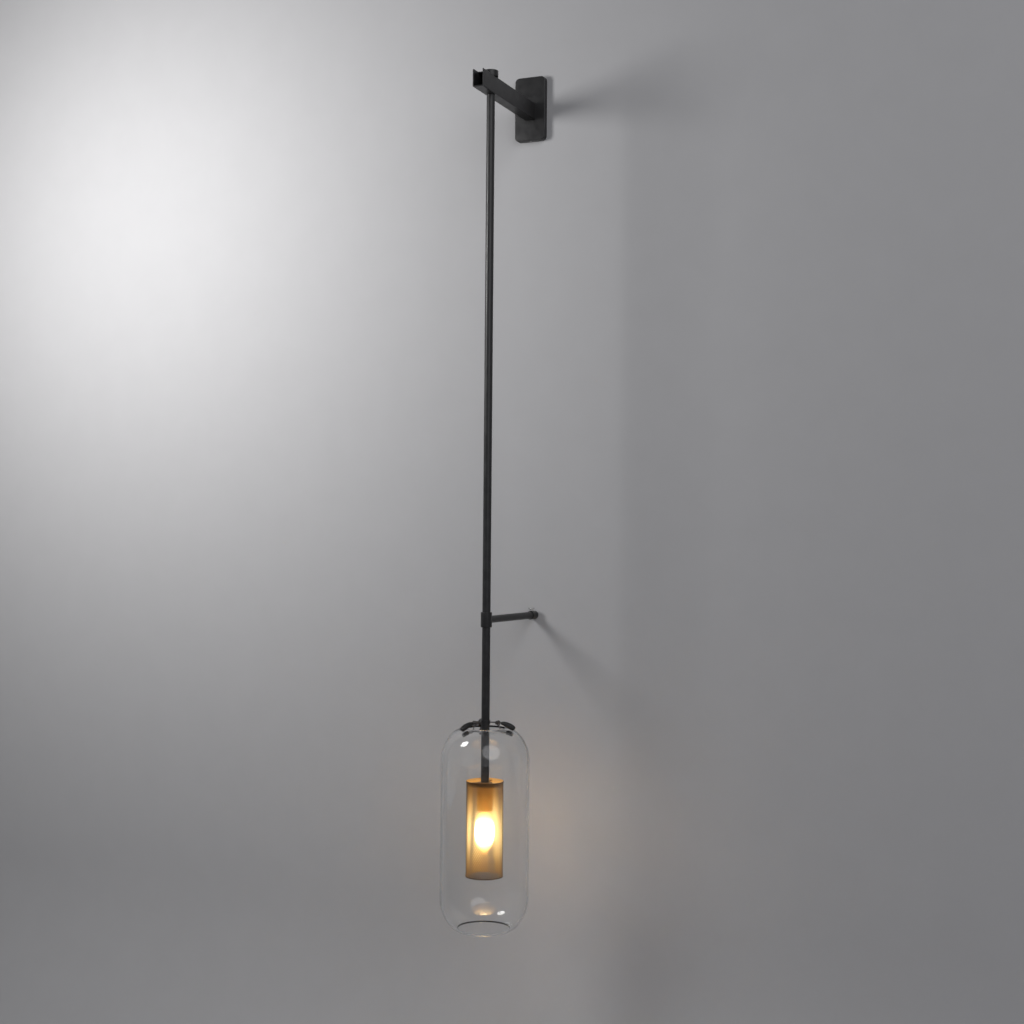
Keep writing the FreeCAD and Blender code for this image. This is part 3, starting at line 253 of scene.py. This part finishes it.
def drawnMaterial(name, colour, tarnish, share, roughness, stretch=(900, 900, 40), depth=0.000015,
                  spread=0.1, **sockets):
    material, tree, shader, _ = newMaterial(name, Metallic=1.0, **sockets)
    placeGroup(tree, drawnGroup, shader, depth, Colour=(*colour, 1), Tarnish=(*tarnish, 1),
               Tarnish_Share=share, Roughness=roughness, Stretch=stretch, Spread=spread)
    return material


def hideMaterial(name, colour, paintedSheen, roughness, cells, depth):
    material, tree, shader, _ = newMaterial(name, Specular_IOR_Level=0.45)
    # the paler colour here is a painted sheen on the black hide
    placeGroup(tree, hideGroup, shader, depth, 0.7, Colour=(*colour, 1), Bloom=(*paintedSheen, 1),
               Roughness=roughness, Cell_Scale=cells)
    return material


def letShadowsThrough(tree, shader, output, tint):
    # lamp light and soft light pass the glass, as they do the real one
    clear = tree.nodes.new("ShaderNodeBsdfTransparent")
    clear.inputs["Color"].default_value = (*tint, 1)
    path = tree.nodes.new("ShaderNodeLightPath")
    mix = tree.nodes.new("ShaderNodeMixShader")
    tree.links.new(path.outputs["Is Shadow Ray"], mix.inputs["Fac"])
    tree.links.new(shader.outputs["BSDF"], mix.inputs[1])
    tree.links.new(clear.outputs["BSDF"], mix.inputs[2])
    tree.links.new(mix.outputs["Shader"], output.inputs["Surface"])


glassLook = {"ior": 1.48, "rippleScale": 26.0, "rippleDepth": 0.0006, "shadowTint": 0.94}


def glassMaterial():
    material, tree, shader, output = newMaterial(
        "clearGlass", Base_Color=(0.985, 0.99, 0.99, 1), Roughness=0.0, IOR=glassLook["ior"],
        Transmission_Weight=1.0)
    place = tree.nodes.new("ShaderNodeTexCoord")
    stretch = addNode(tree, "ShaderNodeMapping")
    stretch.inputs["Scale"].default_value = (1, 1, 0.45)
    tree.links.new(place.outputs["Object"], stretch.inputs["Vector"])
    ripple = noiseNode(tree, stretch.outputs["Vector"], glassLook["rippleScale"], 1.5, 0.4)
    bump = addNode(tree, "ShaderNodeBump")
    setInputs(bump, Distance=glassLook["rippleDepth"], Strength=0.6)
    tree.links.new(ripple, bump.inputs["Height"])
    tree.links.new(bump.outputs["Normal"], shader.inputs["Normal"])
    tint = (glassLook["shadowTint"],) * 3
    letShadowsThrough(tree, shader, output, tint)
    return material


def makeGlareGroup():
    # the lamp's light on what stands round it: strongest level with the lamp and on faces turned to it
    group, entry, leave = newGroup("lampGlare", [
        ("Vector", "NodeSocketVector", None), ("Normal", "NodeSocketVector", None),
        ("Axis", "NodeSocketVector", (0, 0, 0)), ("Level", "NodeSocketFloat", 0.0),
        ("Reach", "NodeSocketFloat", 0.05), ("Near", "NodeSocketColor", None),
        ("Far", "NodeSocketColor", None), ("Outside Share", "NodeSocketFloat", 0.1),
    ], [("Colour", "NodeSocketColor")])
    put = group.links.new
    away = addNode(group, "ShaderNodeVectorMath", operation="SUBTRACT")
    put(entry.outputs["Vector"], away.inputs[0])
    put(entry.outputs["Axis"], away.inputs[1])
    flat = addNode(group, "ShaderNodeVectorMath", operation="MULTIPLY")
    flat.inputs[1].default_value = (1, 1, 0)
    put(away.outputs[0], flat.inputs[0])
    outward = addNode(group, "ShaderNodeVectorMath", operation="NORMALIZE")
    put(flat.outputs[0], outward.inputs[0])
    facing = addNode(group, "ShaderNodeVectorMath", operation="DOT_PRODUCT")
    put(outward.outputs[0], facing.inputs[0])
    put(entry.outputs["Normal"], facing.inputs[1])
    lit = addNode(group, "ShaderNodeMapRange")
    setInputs(lit, From_Min=0.15, From_Max=-0.6, To_Max=1.0)
    put(facing.outputs["Value"], lit.inputs["Value"])
    put(entry.outputs["Outside Share"], lit.inputs["To Min"])
    split = addNode(group, "ShaderNodeSeparateXYZ")
    put(entry.outputs["Vector"], split.inputs["Vector"])
    above = mathNode(group, "SUBTRACT", split.outputs["Z"], entry.outputs["Level"])
    steps = mathNode(group, "DIVIDE", above, entry.outputs["Reach"])
    fall = mathNode(group, "POWER", mathNode(group, "ABSOLUTE", steps, None), 3.0)
    bell = mathNode(group, "DIVIDE", 1.0, mathNode(group, "ADD", fall, 1.0))
    warm = mixColours(group, bell, entry.outputs["Far"], entry.outputs["Near"])
    strength = mathNode(group, "MULTIPLY", bell, lit.outputs["Result"])
    scaled = addNode(group, "ShaderNodeVectorMath", operation="SCALE")
    put(warm, scaled.inputs[0])
    put(strength, scaled.inputs["Scale"])
    put(scaled.outputs[0], leave.inputs["Colour"])
    return group


glareGroup = makeGlareGroup()
# painted lamp light: the brass strands glow in the lamp's colour, brightest level with the bulb and on
# faces turned inward
meshPaintedLampLight = {"near": (1.0, 0.74, 0.30), "far": (0.85, 0.36, 0.06), "strength": 5.0, "outside": 0.02,
            "reach": 0.046, "levelShare": 0.55}


def meshMaterial():
    material, tree, shader, _ = newMaterial("agedBrassPaintedLampLight", Metallic=0.85,
                                            Emission_Strength=meshPaintedLampLight["strength"])
    placeGroup(tree, drawnGroup, shader, 0.000015, Colour=(0.12, 0.060, 0.022, 1),
               Tarnish=(0.04, 0.02, 0.01, 1), Tarnish_Share=0.8, Roughness=0.36, Stretch=(500, 500, 500),
               Spread=0.14)
    # the emission below paints the bulb's light on the strands; the brass itself gives no light
    low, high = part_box("lamp_bulb")
    place = tree.nodes.new("ShaderNodeTexCoord")
    form = tree.nodes.new("ShaderNodeNewGeometry")
    glare = tree.nodes.new("ShaderNodeGroup")
    glare.node_tree = glareGroup
    level = low.z + meshPaintedLampLight["levelShare"] * (high.z - low.z)
    setInputs(glare, Axis=rodAxis, Level=level, Reach=meshPaintedLampLight["reach"],
              Near=(*meshPaintedLampLight["near"], 1), Far=(*meshPaintedLampLight["far"], 1), Outside_Share=meshPaintedLampLight["outside"])
    tree.links.new(place.outputs["Object"], glare.inputs["Vector"])
    tree.links.new(form.outputs["Normal"], glare.inputs["Normal"])
    tree.links.new(glare.outputs["Colour"], shader.inputs["Emission Color"])
    return material


bulbLook = {"hot": (1.0, 0.84, 0.52), "edge": (1.0, 0.42, 0.08), "strength": 7.0, "filament": 120.0}


def bulbMaterial():
    material, tree, shader, output = newMaterial(
        "lampGlass", Base_Color=(1, 0.97, 0.9, 1), Roughness=0.08, IOR=1.45, Transmission_Weight=1.0,
        Emission_Strength=bulbLook["strength"])
    low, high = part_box("lamp_bulb")
    place = tree.nodes.new("ShaderNodeTexCoord")
    split = tree.nodes.new("ShaderNodeSeparateXYZ")
    tree.links.new(place.outputs["Object"], split.inputs["Vector"])
    height = high.z - low.z
    rise = rampNode(tree, split.outputs["Z"], low.z + 0.02 * height, low.z + 0.40 * height)
    fall = rampNode(tree, split.outputs["Z"], low.z + 0.66 * height, low.z + 1.0 * height, 1.0, 0.0)
    body = mathNode(tree, "MULTIPLY", rise, fall, clamp=True)
    limb = addNode(tree, "ShaderNodeLayerWeight")
    limb.inputs["Blend"].default_value = 0.5
    middle = rampNode(tree, limb.outputs["Facing"], 0.95, 0.25)
    share = mathNode(tree, "MULTIPLY", mathNode(tree, "POWER", body, 1.8),
                     mathNode(tree, "ADD", middle, 0.08), clamp=True)
    warm = mixColours(tree, share, (*bulbLook["edge"], 1), (*bulbLook["hot"], 1))
    glow = mixColours(tree, share, (0.03, 0.012, 0.002, 1), warm)
    tree.links.new(glow, shader.inputs["Emission Color"])
    letShadowsThrough(tree, shader, output, (1, 0.95, 0.88))
    return material


def filamentMaterial():
    material, tree, shader, _ = newMaterial(
        "filament", Base_Color=(1, 0.75, 0.35, 1), Roughness=0.4, Emission_Strength=bulbLook["filament"])
    place = tree.nodes.new("ShaderNodeTexCoord")
    beads = noiseNode(tree, place.outputs["Object"], 700.0, 1.0)
    glow = mixColours(tree, rampNode(tree, beads, 0.35, 0.65), (1.0, 0.55, 0.2, 1), (1.0, 0.72, 0.38, 1))
    tree.links.new(glow, shader.inputs["Emission Color"])
    return material


materials = {
    "black_enamel": coatedMaterial("blackEnamel", (0.013, 0.0125, 0.013), (0.07, 0.07, 0.07), 0.38,
                                   depth=0.00003, Specular_IOR_Level=0.5),
    "zinc_steel": drawnMaterial("zincSteel", (0.58, 0.59, 0.62), (0.40, 0.42, 0.40), 0.6, 0.38,
                                (60, 60, 700)),
    "screw_steel": drawnMaterial("screwSteel", (0.62, 0.61, 0.60), (0.36, 0.34, 0.31), 0.4, 0.28,
                                 (1200, 1200, 1200)),
    "thumb_steel": drawnMaterial("thumbSteel", (0.66, 0.65, 0.63), (0.30, 0.29, 0.28), 0.3, 0.18,
                                 (300, 300, 3000)),
    "clip_steel": drawnMaterial("clipSteel", (0.16, 0.15, 0.145), (0.07, 0.06, 0.055), 0.6, 0.34,
                                (1500, 1500, 1500)),
    "pad_rubber": hideMaterial("padHide", (0.010, 0.009, 0.009), (0.034, 0.031, 0.031), 0.44, 900.0,
                               0.00016),
    "clear_glass": glassMaterial(),
    "mesh_brass": meshMaterial(),
    "holder_brass": drawnMaterial("holderBrass", (0.88, 0.60, 0.22), (0.50, 0.28, 0.09), 0.5, 0.26,
                                  (1500, 1500, 120)),
    "socket_core": coatedMaterial("steatite", (0.78, 0.76, 0.70), (0.60, 0.56, 0.48), 0.42, 900.0),
    "terminal_plastic": coatedMaterial("terminalPlastic", (0.74, 0.73, 0.68), (0.60, 0.58, 0.52), 0.4,
                                       1200.0),
    "lead_sheath": coatedMaterial("leadSheath", (0.018, 0.018, 0.019), (0.06, 0.06, 0.06), 0.5, 1800.0),
    "lamp_metal": drawnMaterial("lampCapMetal", (0.74, 0.73, 0.70), (0.48, 0.45, 0.40), 0.5, 0.22,
                                (900, 900, 900)),
    "lamp_insulator": coatedMaterial("blackVitrite", (0.01, 0.01, 0.012), (0.05, 0.05, 0.055), 0.12, 600.0),
    "bulb_glass": bulbMaterial(),
    "filament": filamentMaterial(),
}
print("materials made,", len(materials))


# ---- making and placing pieces ----

def finishMesh(bm, name, sharpAngle=35, recalculate=True):
    bmesh.ops.remove_doubles(bm, verts=bm.verts, dist=1e-6)
    if recalculate:
        bmesh.ops.recalc_face_normals(bm, faces=bm.faces)
    mesh = bpy.data.meshes.new(name)
    bm.to_mesh(mesh)
    bm.free()
    mesh.shade_smooth()
    mesh.set_sharp_from_angle(angle=math.radians(sharpAngle))
    return mesh


def addPiece(name, mesh, *stoodFor, look=None):
    piece = bpy.data.objects.new(name, mesh)
    bpy.context.scene.collection.objects.link(piece)
    slotName = nodeSlot[stoodFor[0]]
    mesh.materials.clear()
    mesh.materials.append(materials[look or slotName])
    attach(piece, nodeBody[stoodFor[0]])
    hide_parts(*stoodFor)
    return piece


def bevelEdges(piece, width, segments=2, angle=40):
    bevel = piece.modifiers.new("softEdges", "BEVEL")
    bevel.width = width
    bevel.segments = segments
    bevel.limit_method = "ANGLE"
    bevel.angle_limit = math.radians(angle)
    bevel.harden_normals = True
    return piece


def refine(nodeName, edge=0.0003, sharpAngle=35, flat=True):
    # the same solid as one joined mesh, smooth shaded, its corners softened
    bm = bmesh.new()
    bm.from_mesh(cadNodes[nodeName].data)
    bmesh.ops.remove_doubles(bm, verts=bm.verts, dist=2e-6)
    if flat:
        bmesh.ops.dissolve_limit(bm, angle_limit=math.radians(0.5), verts=bm.verts, edges=bm.edges)
    title = nodeName + "_finished"
    piece = addPiece(title, finishMesh(bm, title, sharpAngle, False), nodeName)
    if edge:
        bevelEdges(piece, edge)
    return piece


def lathe(outline, steps):
    # turns a closed outline of points (radius, height) about the vertical axis
    bm = bmesh.new()
    verts = [bm.verts.new((point.x, 0, point.y)) for point in outline]
    pairs = list(zip(verts, verts[1:])) + [(verts[-1], verts[0])]
    edges = [bm.edges.new(pair) for pair in pairs]
    bmesh.ops.spin(bm, geom=verts + edges, cent=(0, 0, 0), axis=(0, 0, 1), angle=math.tau, steps=steps,
                   use_merge=True)
    bmesh.ops.remove_doubles(bm, verts=bm.verts, dist=1e-7)
    return bm


def moved(bm, matrix):
    bmesh.ops.transform(bm, matrix=matrix, verts=bm.verts)
    return bm


# ---- glass ----

glassShape = {"hole": 0.033, "side": 0.075, "height": 0.3405, "wall": 0.003, "mouth": 0.045,
              "crown": 0.034, "shoulder": 0.055, "steps": 160}


def glassPath(shape, wall):
    # crown arc, flank arc, straight side, and the same at the bottom, out from the hole
    hole, side, crown, shoulder = (shape[key] for key in ("hole", "side", "crown", "shoulder"))
    across = side - hole
    flank = (across ** 2 + shoulder ** 2 - 2 * shoulder * crown) / (2 * (across - crown))
    lean = math.atan2(shoulder - crown, flank - across)
    run = shape["mouth"] - hole
    lowCentre = math.sqrt(crown ** 2 - run ** 2) - shape["height"]
    end = math.atan2(-math.sqrt(crown ** 2 - run ** 2), run)
    arcs = [
        (hole, -crown, crown, math.pi / 2, lean, 12),
        (side - flank, -shoulder, flank, lean, 0, 14),
        (side - flank, lowCentre + shoulder - crown, flank, 0, -lean, 14),
        (hole, lowCentre, crown, -lean, end, 12),
    ]
    points = []
    for centreX, centreZ, radius, start, stop, count in arcs:
        for step in range(count + 1):
            angle = start + (stop - start) * step / count
            points.append(Vector((centreX + (radius - wall) * math.cos(angle),
                                  centreZ + (radius - wall) * math.sin(angle))))
    return points


def rimArc(first, last, steps=6):
    # half a circle from one point to another, bulging to the left of the way
    middle = (first + last) / 2
    arm = first - middle
    return [middle + Matrix.Rotation(math.pi * step / steps, 2) @ arm for step in range(1, steps)]


def makeGlass():
    outer = glassPath(glassShape, 0)
    inner = glassPath(glassShape, glassShape["wall"])
    outline = outer + rimArc(outer[-1], inner[-1]) + inner[::-1] + rimArc(inner[0], outer[0])
    bm = lathe(outline, glassShape["steps"])
    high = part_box("glass_shade")[1]
    moved(bm, Matrix.Translation((rodAxis.x, rodAxis.y, high.z)))
    return addPiece("glass_capsule", finishMesh(bm, "glass_capsule", 80), "glass_shade")


# ---- perforated shade ----

meshShape = {"columns": 52, "rows": 26, "strand": 0.00068, "sheet": 0.00055, "tilt": 0.00035,
             "seamAngle": -73.4}


def makeDiamondMesh():
    low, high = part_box("mesh_shade")
    radius = (high.x - low.x) / 2 - meshShape["sheet"] / 2
    height = high.z - low.z
    width = math.tau * radius
    bm = bmesh.new()
    bmesh.ops.create_grid(bm, x_segments=meshShape["columns"], y_segments=meshShape["rows"], size=0.5)
    sheetEdges = list(bm.edges)
    bmesh.ops.poke(bm, faces=bm.faces)
    inside = [edge for edge in sheetEdges if len(edge.link_faces) == 2]
    bmesh.ops.dissolve_edges(bm, edges=inside, use_verts=False)
    bmesh.ops.transform(bm, matrix=Matrix.Diagonal((width, height, 1, 1)), verts=bm.verts)
    holes = list(bm.faces)
    bmesh.ops.inset_individual(bm, faces=holes, thickness=meshShape["strand"], use_even_offset=True)
    cell = height / meshShape["rows"]
    for hole in holes:
        middle = hole.calc_center_median()
        for vert in hole.verts:
            vert.co.z += meshShape["tilt"] * (vert.co.y - middle.y) / cell
    bmesh.ops.delete(bm, geom=holes, context="FACES")
    start = math.radians(meshShape["seamAngle"])
    for vert in bm.verts:
        angle = start + vert.co.x / radius
        out = radius + vert.co.z
        vert.co = Vector((rodAxis.x + out * math.cos(angle), rodAxis.y + out * math.sin(angle),
                          (low.z + high.z) / 2 + vert.co.y))
    piece = addPiece("diamond_mesh", finishMesh(bm, "diamond_mesh", 60), "mesh_shade")
    skin = piece.modifiers.new("sheet", "SOLIDIFY")
    skin.thickness = meshShape["sheet"]
    skin.offset = 0
    return piece


# ---- sprung clips ----

padShape = {"bend": 0.056, "reach": 0.052, "start": 0.006, "tip": 0.0044, "wide": 1.1, "pinRadius": 0.022,
            "pinRise": 0.0098, "crownGap": 0.00035, "rings": 36, "sides": 36, "folds": 3, "foldDepth": 0.13,
            "topFold": 0.6, "wobble": 0.02, "wobbleTurns": 46,
            # share of the way from the knuckle to the tip, and the girth there
            "girths": [(0, 0.0021), (0.05, 0.0026), (0.2, 0.0038), (0.45, 0.0046), (0.7, 0.0049),
                       (0.88, 0.0046), (0.96, 0.0040), (1, 0.0029)]}


def padArc():
    # the arc from the clip's pin to a tip that rests on the crown, in the clip's own plane
    crown = glassShape["crown"]
    pin = Vector((padShape["pinRadius"], 0))
    centre = Vector((glassShape["hole"], -padShape["pinRise"] - crown))
    run = padShape["reach"] - centre.x
    away = crown + padShape["crownGap"] + padShape["tip"]
    tip = Vector((padShape["reach"], centre.y + math.sqrt(away ** 2 - run ** 2)))
    chord = tip - pin
    inward = Vector((chord.y, -chord.x)).normalized()
    middle = (pin + tip) / 2 + inward * math.sqrt(padShape["bend"] ** 2 - (chord.length / 2) ** 2)
    ends = [math.atan2(point.x - middle.x, point.y - middle.y) for point in (pin, tip)]
    return middle, ends[0], ends[1]


def padGirth(share):
    # thin at the knuckle, fullest past the middle, and blunt at the tip
    table = padShape["girths"]
    for (first, low), (last, high) in zip(table, table[1:]):
        if share <= last:
            part = (share - first) / (last - first)
            return low + (high - low) * part
    return table[-1][1]


def makePad(number, turn):
    middle, pinAngle, lastAngle = padArc()
    firstAngle = pinAngle + padShape["start"] / padShape["bend"]
    bm = bmesh.new()
    ring = bmesh.ops.create_circle(bm, segments=padShape["sides"], radius=1)["verts"]
    for vert in ring:
        side = math.atan2(vert.co.y, vert.co.x)
        depth = padShape["foldDepth"] * (1 if abs(side) > 0.5 else padShape["topFold"])
        vert.co *= 1 - depth * max(0, math.cos(padShape["folds"] * 2 * side + math.pi)) ** 6
    edges = list(bm.edges)
    before = Matrix.Identity(4)
    for index in range(padShape["rings"] + 1):
        share = index / padShape["rings"]
        angle = firstAngle + (lastAngle - firstAngle) * share
        girth = padGirth(share)
        if 0.2 < share < 0.9:
            girth *= 1 + padShape["wobble"] * math.sin(share * padShape["wobbleTurns"] + number)
        out = Vector((math.sin(angle), 0, math.cos(angle)))
        onward = Vector((math.cos(angle), 0, -math.sin(angle)))
        at = Vector((middle.x, 0, middle.y)) + out * padShape["bend"]
        place = Matrix.Translation(at) @ Matrix((out, Vector((0, 1, 0)), onward)).transposed().to_4x4()
        place = place @ Matrix.Diagonal((girth, girth * padShape["wide"], 1, 1))
        if index:
            grown = bmesh.ops.extrude_edge_only(bm, edges=edges)["geom"]
            ring = [part for part in grown if isinstance(part, bmesh.types.BMVert)]
            edges = [part for part in grown if isinstance(part, bmesh.types.BMEdge)]
        bmesh.ops.transform(bm, matrix=place @ before.inverted(), verts=ring)
        before = place
    bmesh.ops.holes_fill(bm, edges=bm.edges)
    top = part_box("glass_shade")[1].z + padShape["pinRise"]
    moved(bm, Matrix.Translation((rodAxis.x, rodAxis.y, top)) @ Matrix.Rotation(math.radians(turn), 4, "Z"))
    name = f"upper_pad_{number}"
    pad = addPiece(f"folded_pad_{number}", finishMesh(bm, f"folded_pad_{number}", 70), name)
    smooth = pad.modifiers.new("smooth", "SUBSURF")
    smooth.levels = 1
    smooth.render_levels = 1
    return pad


# ---- lamp ----

bulbShape = {"neck": 0.007, "belly": 0.0175, "bellyDrop": 0.034, "tip": 0.003, "tipLength": 0.003,
             "length": 0.077, "wall": 0.0008, "steps": 72}


def bulbPath(shape, wall):
    def bowed(run, rise, count, upper):
        bend = (run ** 2 + rise ** 2) / (2 * run)
        reach = math.asin(rise / bend) / count
        angles = [reach * (count - step if upper else -step) for step in range(count + 1)]
        return [Vector((shape["belly"] - bend + (bend - wall) * math.cos(angle),
                        -shape["bellyDrop"] + (bend - wall) * math.sin(angle))) for angle in angles]

    lowRise = shape["length"] - shape["tipLength"] - shape["bellyDrop"]
    points = bowed(shape["belly"] - shape["neck"], shape["bellyDrop"], 16, True)
    points += bowed(shape["belly"] - shape["tip"], lowRise, 16, False)[1:]
    points[0] = Vector((points[0].x, 0))
    nose = points[-1]
    for step in range(1, 6):
        angle = math.pi / 2 * step / 5
        depth = -shape["length"] + wall - nose.y
        points.append(Vector((nose.x * math.cos(angle), nose.y + depth * math.sin(angle))))
    points[-1].x = 0
    return points


def makeBulb():
    outline = bulbPath(bulbShape, 0) + bulbPath(bulbShape, bulbShape["wall"])[::-1]
    bm = lathe(outline, bulbShape["steps"])
    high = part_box("lamp_bulb")[1]
    moved(bm, Matrix.Translation((rodAxis.x, rodAxis.y, high.z)))
    return addPiece("candle_bulb", finishMesh(bm, "candle_bulb", 60), "lamp_bulb")


makeGlass()
makeDiamondMesh()
for number, turn in enumerate(clipAngles, start=1):
    makePad(number, turn)
makeBulb()
print("glass, mesh, pads and bulb made")

sharp = ["wall_plate", "arm", "rod_cap", "rod", "standoff_clamp", "standoff_bar", "wall_cup", "clip_hub",
         "thumb_screw", "mounting_bracket", "root_block", "root_screws", "canopy_screws", "cap_screw",
         "clamp_screw", "earth_screw", "terminal_block", "terminal_screws", "nipple", "nipple_nut",
         "shade_spider", "upper_rim", "lower_rim", "holder_sleeve", "holder_core", "holder_thread",
         "holder_contact", "lamp_cap", "lamp_insulator", "lamp_contact", "lamp_stem", "lamp_filament"]
softened = {"wall_plate": 0.0002, "arm": 0.0003, "standoff_bar": 0.0004, "wall_cup": 0.0006,
            "thumb_screw": 0.0005, "upper_rim": 0.0002, "lower_rim": 0.0002, "holder_thread": 0.0001,
            "clip_hub": 0.0005}
for name in sharp:
    refine(name, softened.get(name, 0.0002))
for number in (1, 2, 3):
    for stem in ("clip_wire", "clip_pin", "upper_prong", "lower_prong"):
        refine(f"{stem}_{number}", 0.0001)
    for stem in ("clip_spring", "lower_sleeve"):
        refine(f"{stem}_{number}", 0, 50, False)
refine("lead", 0, 40)
print("metal pieces finished")


# ---- wall, floor, light and camera ----

room = {"half": 4.0, "floor": -1.95, "cove": 0.5, "top": 2.5, "front": -6.0, "gap": 0.0006,
        "colour": (0.60, 0.60, 0.615)}


def makeRoom():
    bm = bmesh.new()
    wallY = room["gap"]
    outline = [(wallY, room["top"]), (wallY, room["floor"] + room["cove"])]
    for step in range(1, 13):
        angle = math.pi / 2 * step / 12
        outline.append((wallY - room["cove"] * (1 - math.cos(angle)),
                        room["floor"] + room["cove"] * (1 - math.sin(angle))))
    outline.append((room["front"], room["floor"]))
    verts = [bm.verts.new((-room["half"], y, z)) for y, z in outline]
    edges = [bm.edges.new(pair) for pair in zip(verts, verts[1:])]
    grown = bmesh.ops.extrude_edge_only(bm, edges=edges)["geom"]
    far = [part for part in grown if isinstance(part, bmesh.types.BMVert)]
    bmesh.ops.translate(bm, vec=(2 * room["half"], 0, 0), verts=far)
    mesh = bpy.data.meshes.new("room")
    bm.normal_update()
    if sum(face.normal.y for face in bm.faces) > 0:
        bmesh.ops.reverse_faces(bm, faces=bm.faces)
    bm.to_mesh(mesh)
    bm.free()
    mesh.shade_smooth()
    wall = bpy.data.objects.new("room", mesh)
    bpy.context.scene.collection.objects.link(wall)
    material, tree, shader, output = newMaterial("wallPaint", Specular_IOR_Level=0.2)
    paint = (*room["colour"], 1)
    placeGroup(tree, coatGroup, shader, 0.0001, 0.15, Colour=paint, Rubbed=paint, Roughness=0.75,
               Grain_Scale=500.0, Spread=0.03, Wear=0.0, Cloudiness=0.012)
    clear = tree.nodes.new("ShaderNodeBsdfTransparent")
    form = tree.nodes.new("ShaderNodeNewGeometry")
    mix = tree.nodes.new("ShaderNodeMixShader")
    tree.links.new(form.outputs["Backfacing"], mix.inputs["Fac"])
    tree.links.new(shader.outputs["BSDF"], mix.inputs[1])
    tree.links.new(clear.outputs["BSDF"], mix.inputs[2])
    tree.links.new(mix.outputs["Shader"], output.inputs["Surface"])
    mesh.materials.append(material)


lamps = [
    # name, place, aim, size, watts, colour
    ("keyLight", (-0.92, -0.85, -0.08), (-0.72, 0.0, -0.30), 0.5, 10.0, (1.0, 0.99, 0.975)),
    ("frontLight", (2.2, -2.4, 1.0), (1.0, 0.0, -0.2), 3.2, 36, (0.98, 0.98, 1.0)),
]
worldLight = {"soft": 0.045, "seen": 0.34}     # on matt faces, and in metal and glass


def makeLights():
    for name, place, aim, size, watts, colour in lamps:
        data = bpy.data.lights.new(name, "AREA")
        data.shape = "DISK"
        data.size = size
        data.energy = watts
        data.color = colour
        light = bpy.data.objects.new(name, data)
        light.location = place
        light.rotation_euler = (Vector(aim) - Vector(place)).to_track_quat("-Z", "Y").to_euler()
        bpy.context.scene.collection.objects.link(light)
    world = bpy.data.worlds.new("softRoom")
    bpy.context.scene.world = world
    world.use_nodes = True
    tree = world.node_tree
    tree.nodes.clear()
    output = tree.nodes.new("ShaderNodeOutputWorld")
    background = tree.nodes.new("ShaderNodeBackground")
    background.inputs["Color"].default_value = (0.93, 0.95, 1.0, 1)
    path = tree.nodes.new("ShaderNodeLightPath")
    seen = mathNode(tree, "MAXIMUM", path.outputs["Is Glossy Ray"], path.outputs["Is Transmission Ray"])
    seen = mathNode(tree, "MAXIMUM", seen, path.outputs["Is Camera Ray"])
    strength = rampNode(tree, seen, 0, 1, worldLight["soft"], worldLight["seen"])
    tree.links.new(strength, background.inputs["Strength"])
    tree.links.new(background.outputs["Background"], output.inputs["Surface"])


view = {"place": (1.05254, -2.51712, -0.76327), "yaw": 23.33, "pitch": 0.74, "roll": 0.48,
        "focalPixels": 1510.7, "picture": 1024, "sensor": 36.0}


def makeCamera():
    yaw, pitch, roll = (math.radians(view[key]) for key in ("yaw", "pitch", "roll"))
    forward = Vector((-math.sin(yaw) * math.cos(pitch), math.cos(yaw) * math.cos(pitch), math.sin(pitch)))
    right = Vector((math.cos(yaw), math.sin(yaw), 0))
    up = right.cross(forward)
    tilted = right * math.cos(roll) + up * math.sin(roll)
    upright = up * math.cos(roll) - right * math.sin(roll)
    data = bpy.data.cameras.new("photoCamera")
    data.sensor_width = view["sensor"]
    data.lens = view["focalPixels"] / view["picture"] * view["sensor"]
    data.clip_end = 50
    camera = bpy.data.objects.new("photoCamera", data)
    turn = Matrix((tilted, upright, -forward)).transposed().to_4x4()
    camera.matrix_world = Matrix.Translation(view["place"]) @ turn
    bpy.context.scene.collection.objects.link(camera)
    bpy.context.scene.camera = camera


makeRoom()
makeLights()
makeCamera()
bpy.context.scene.view_settings.view_transform = "Standard"
print("room, light and camera set")
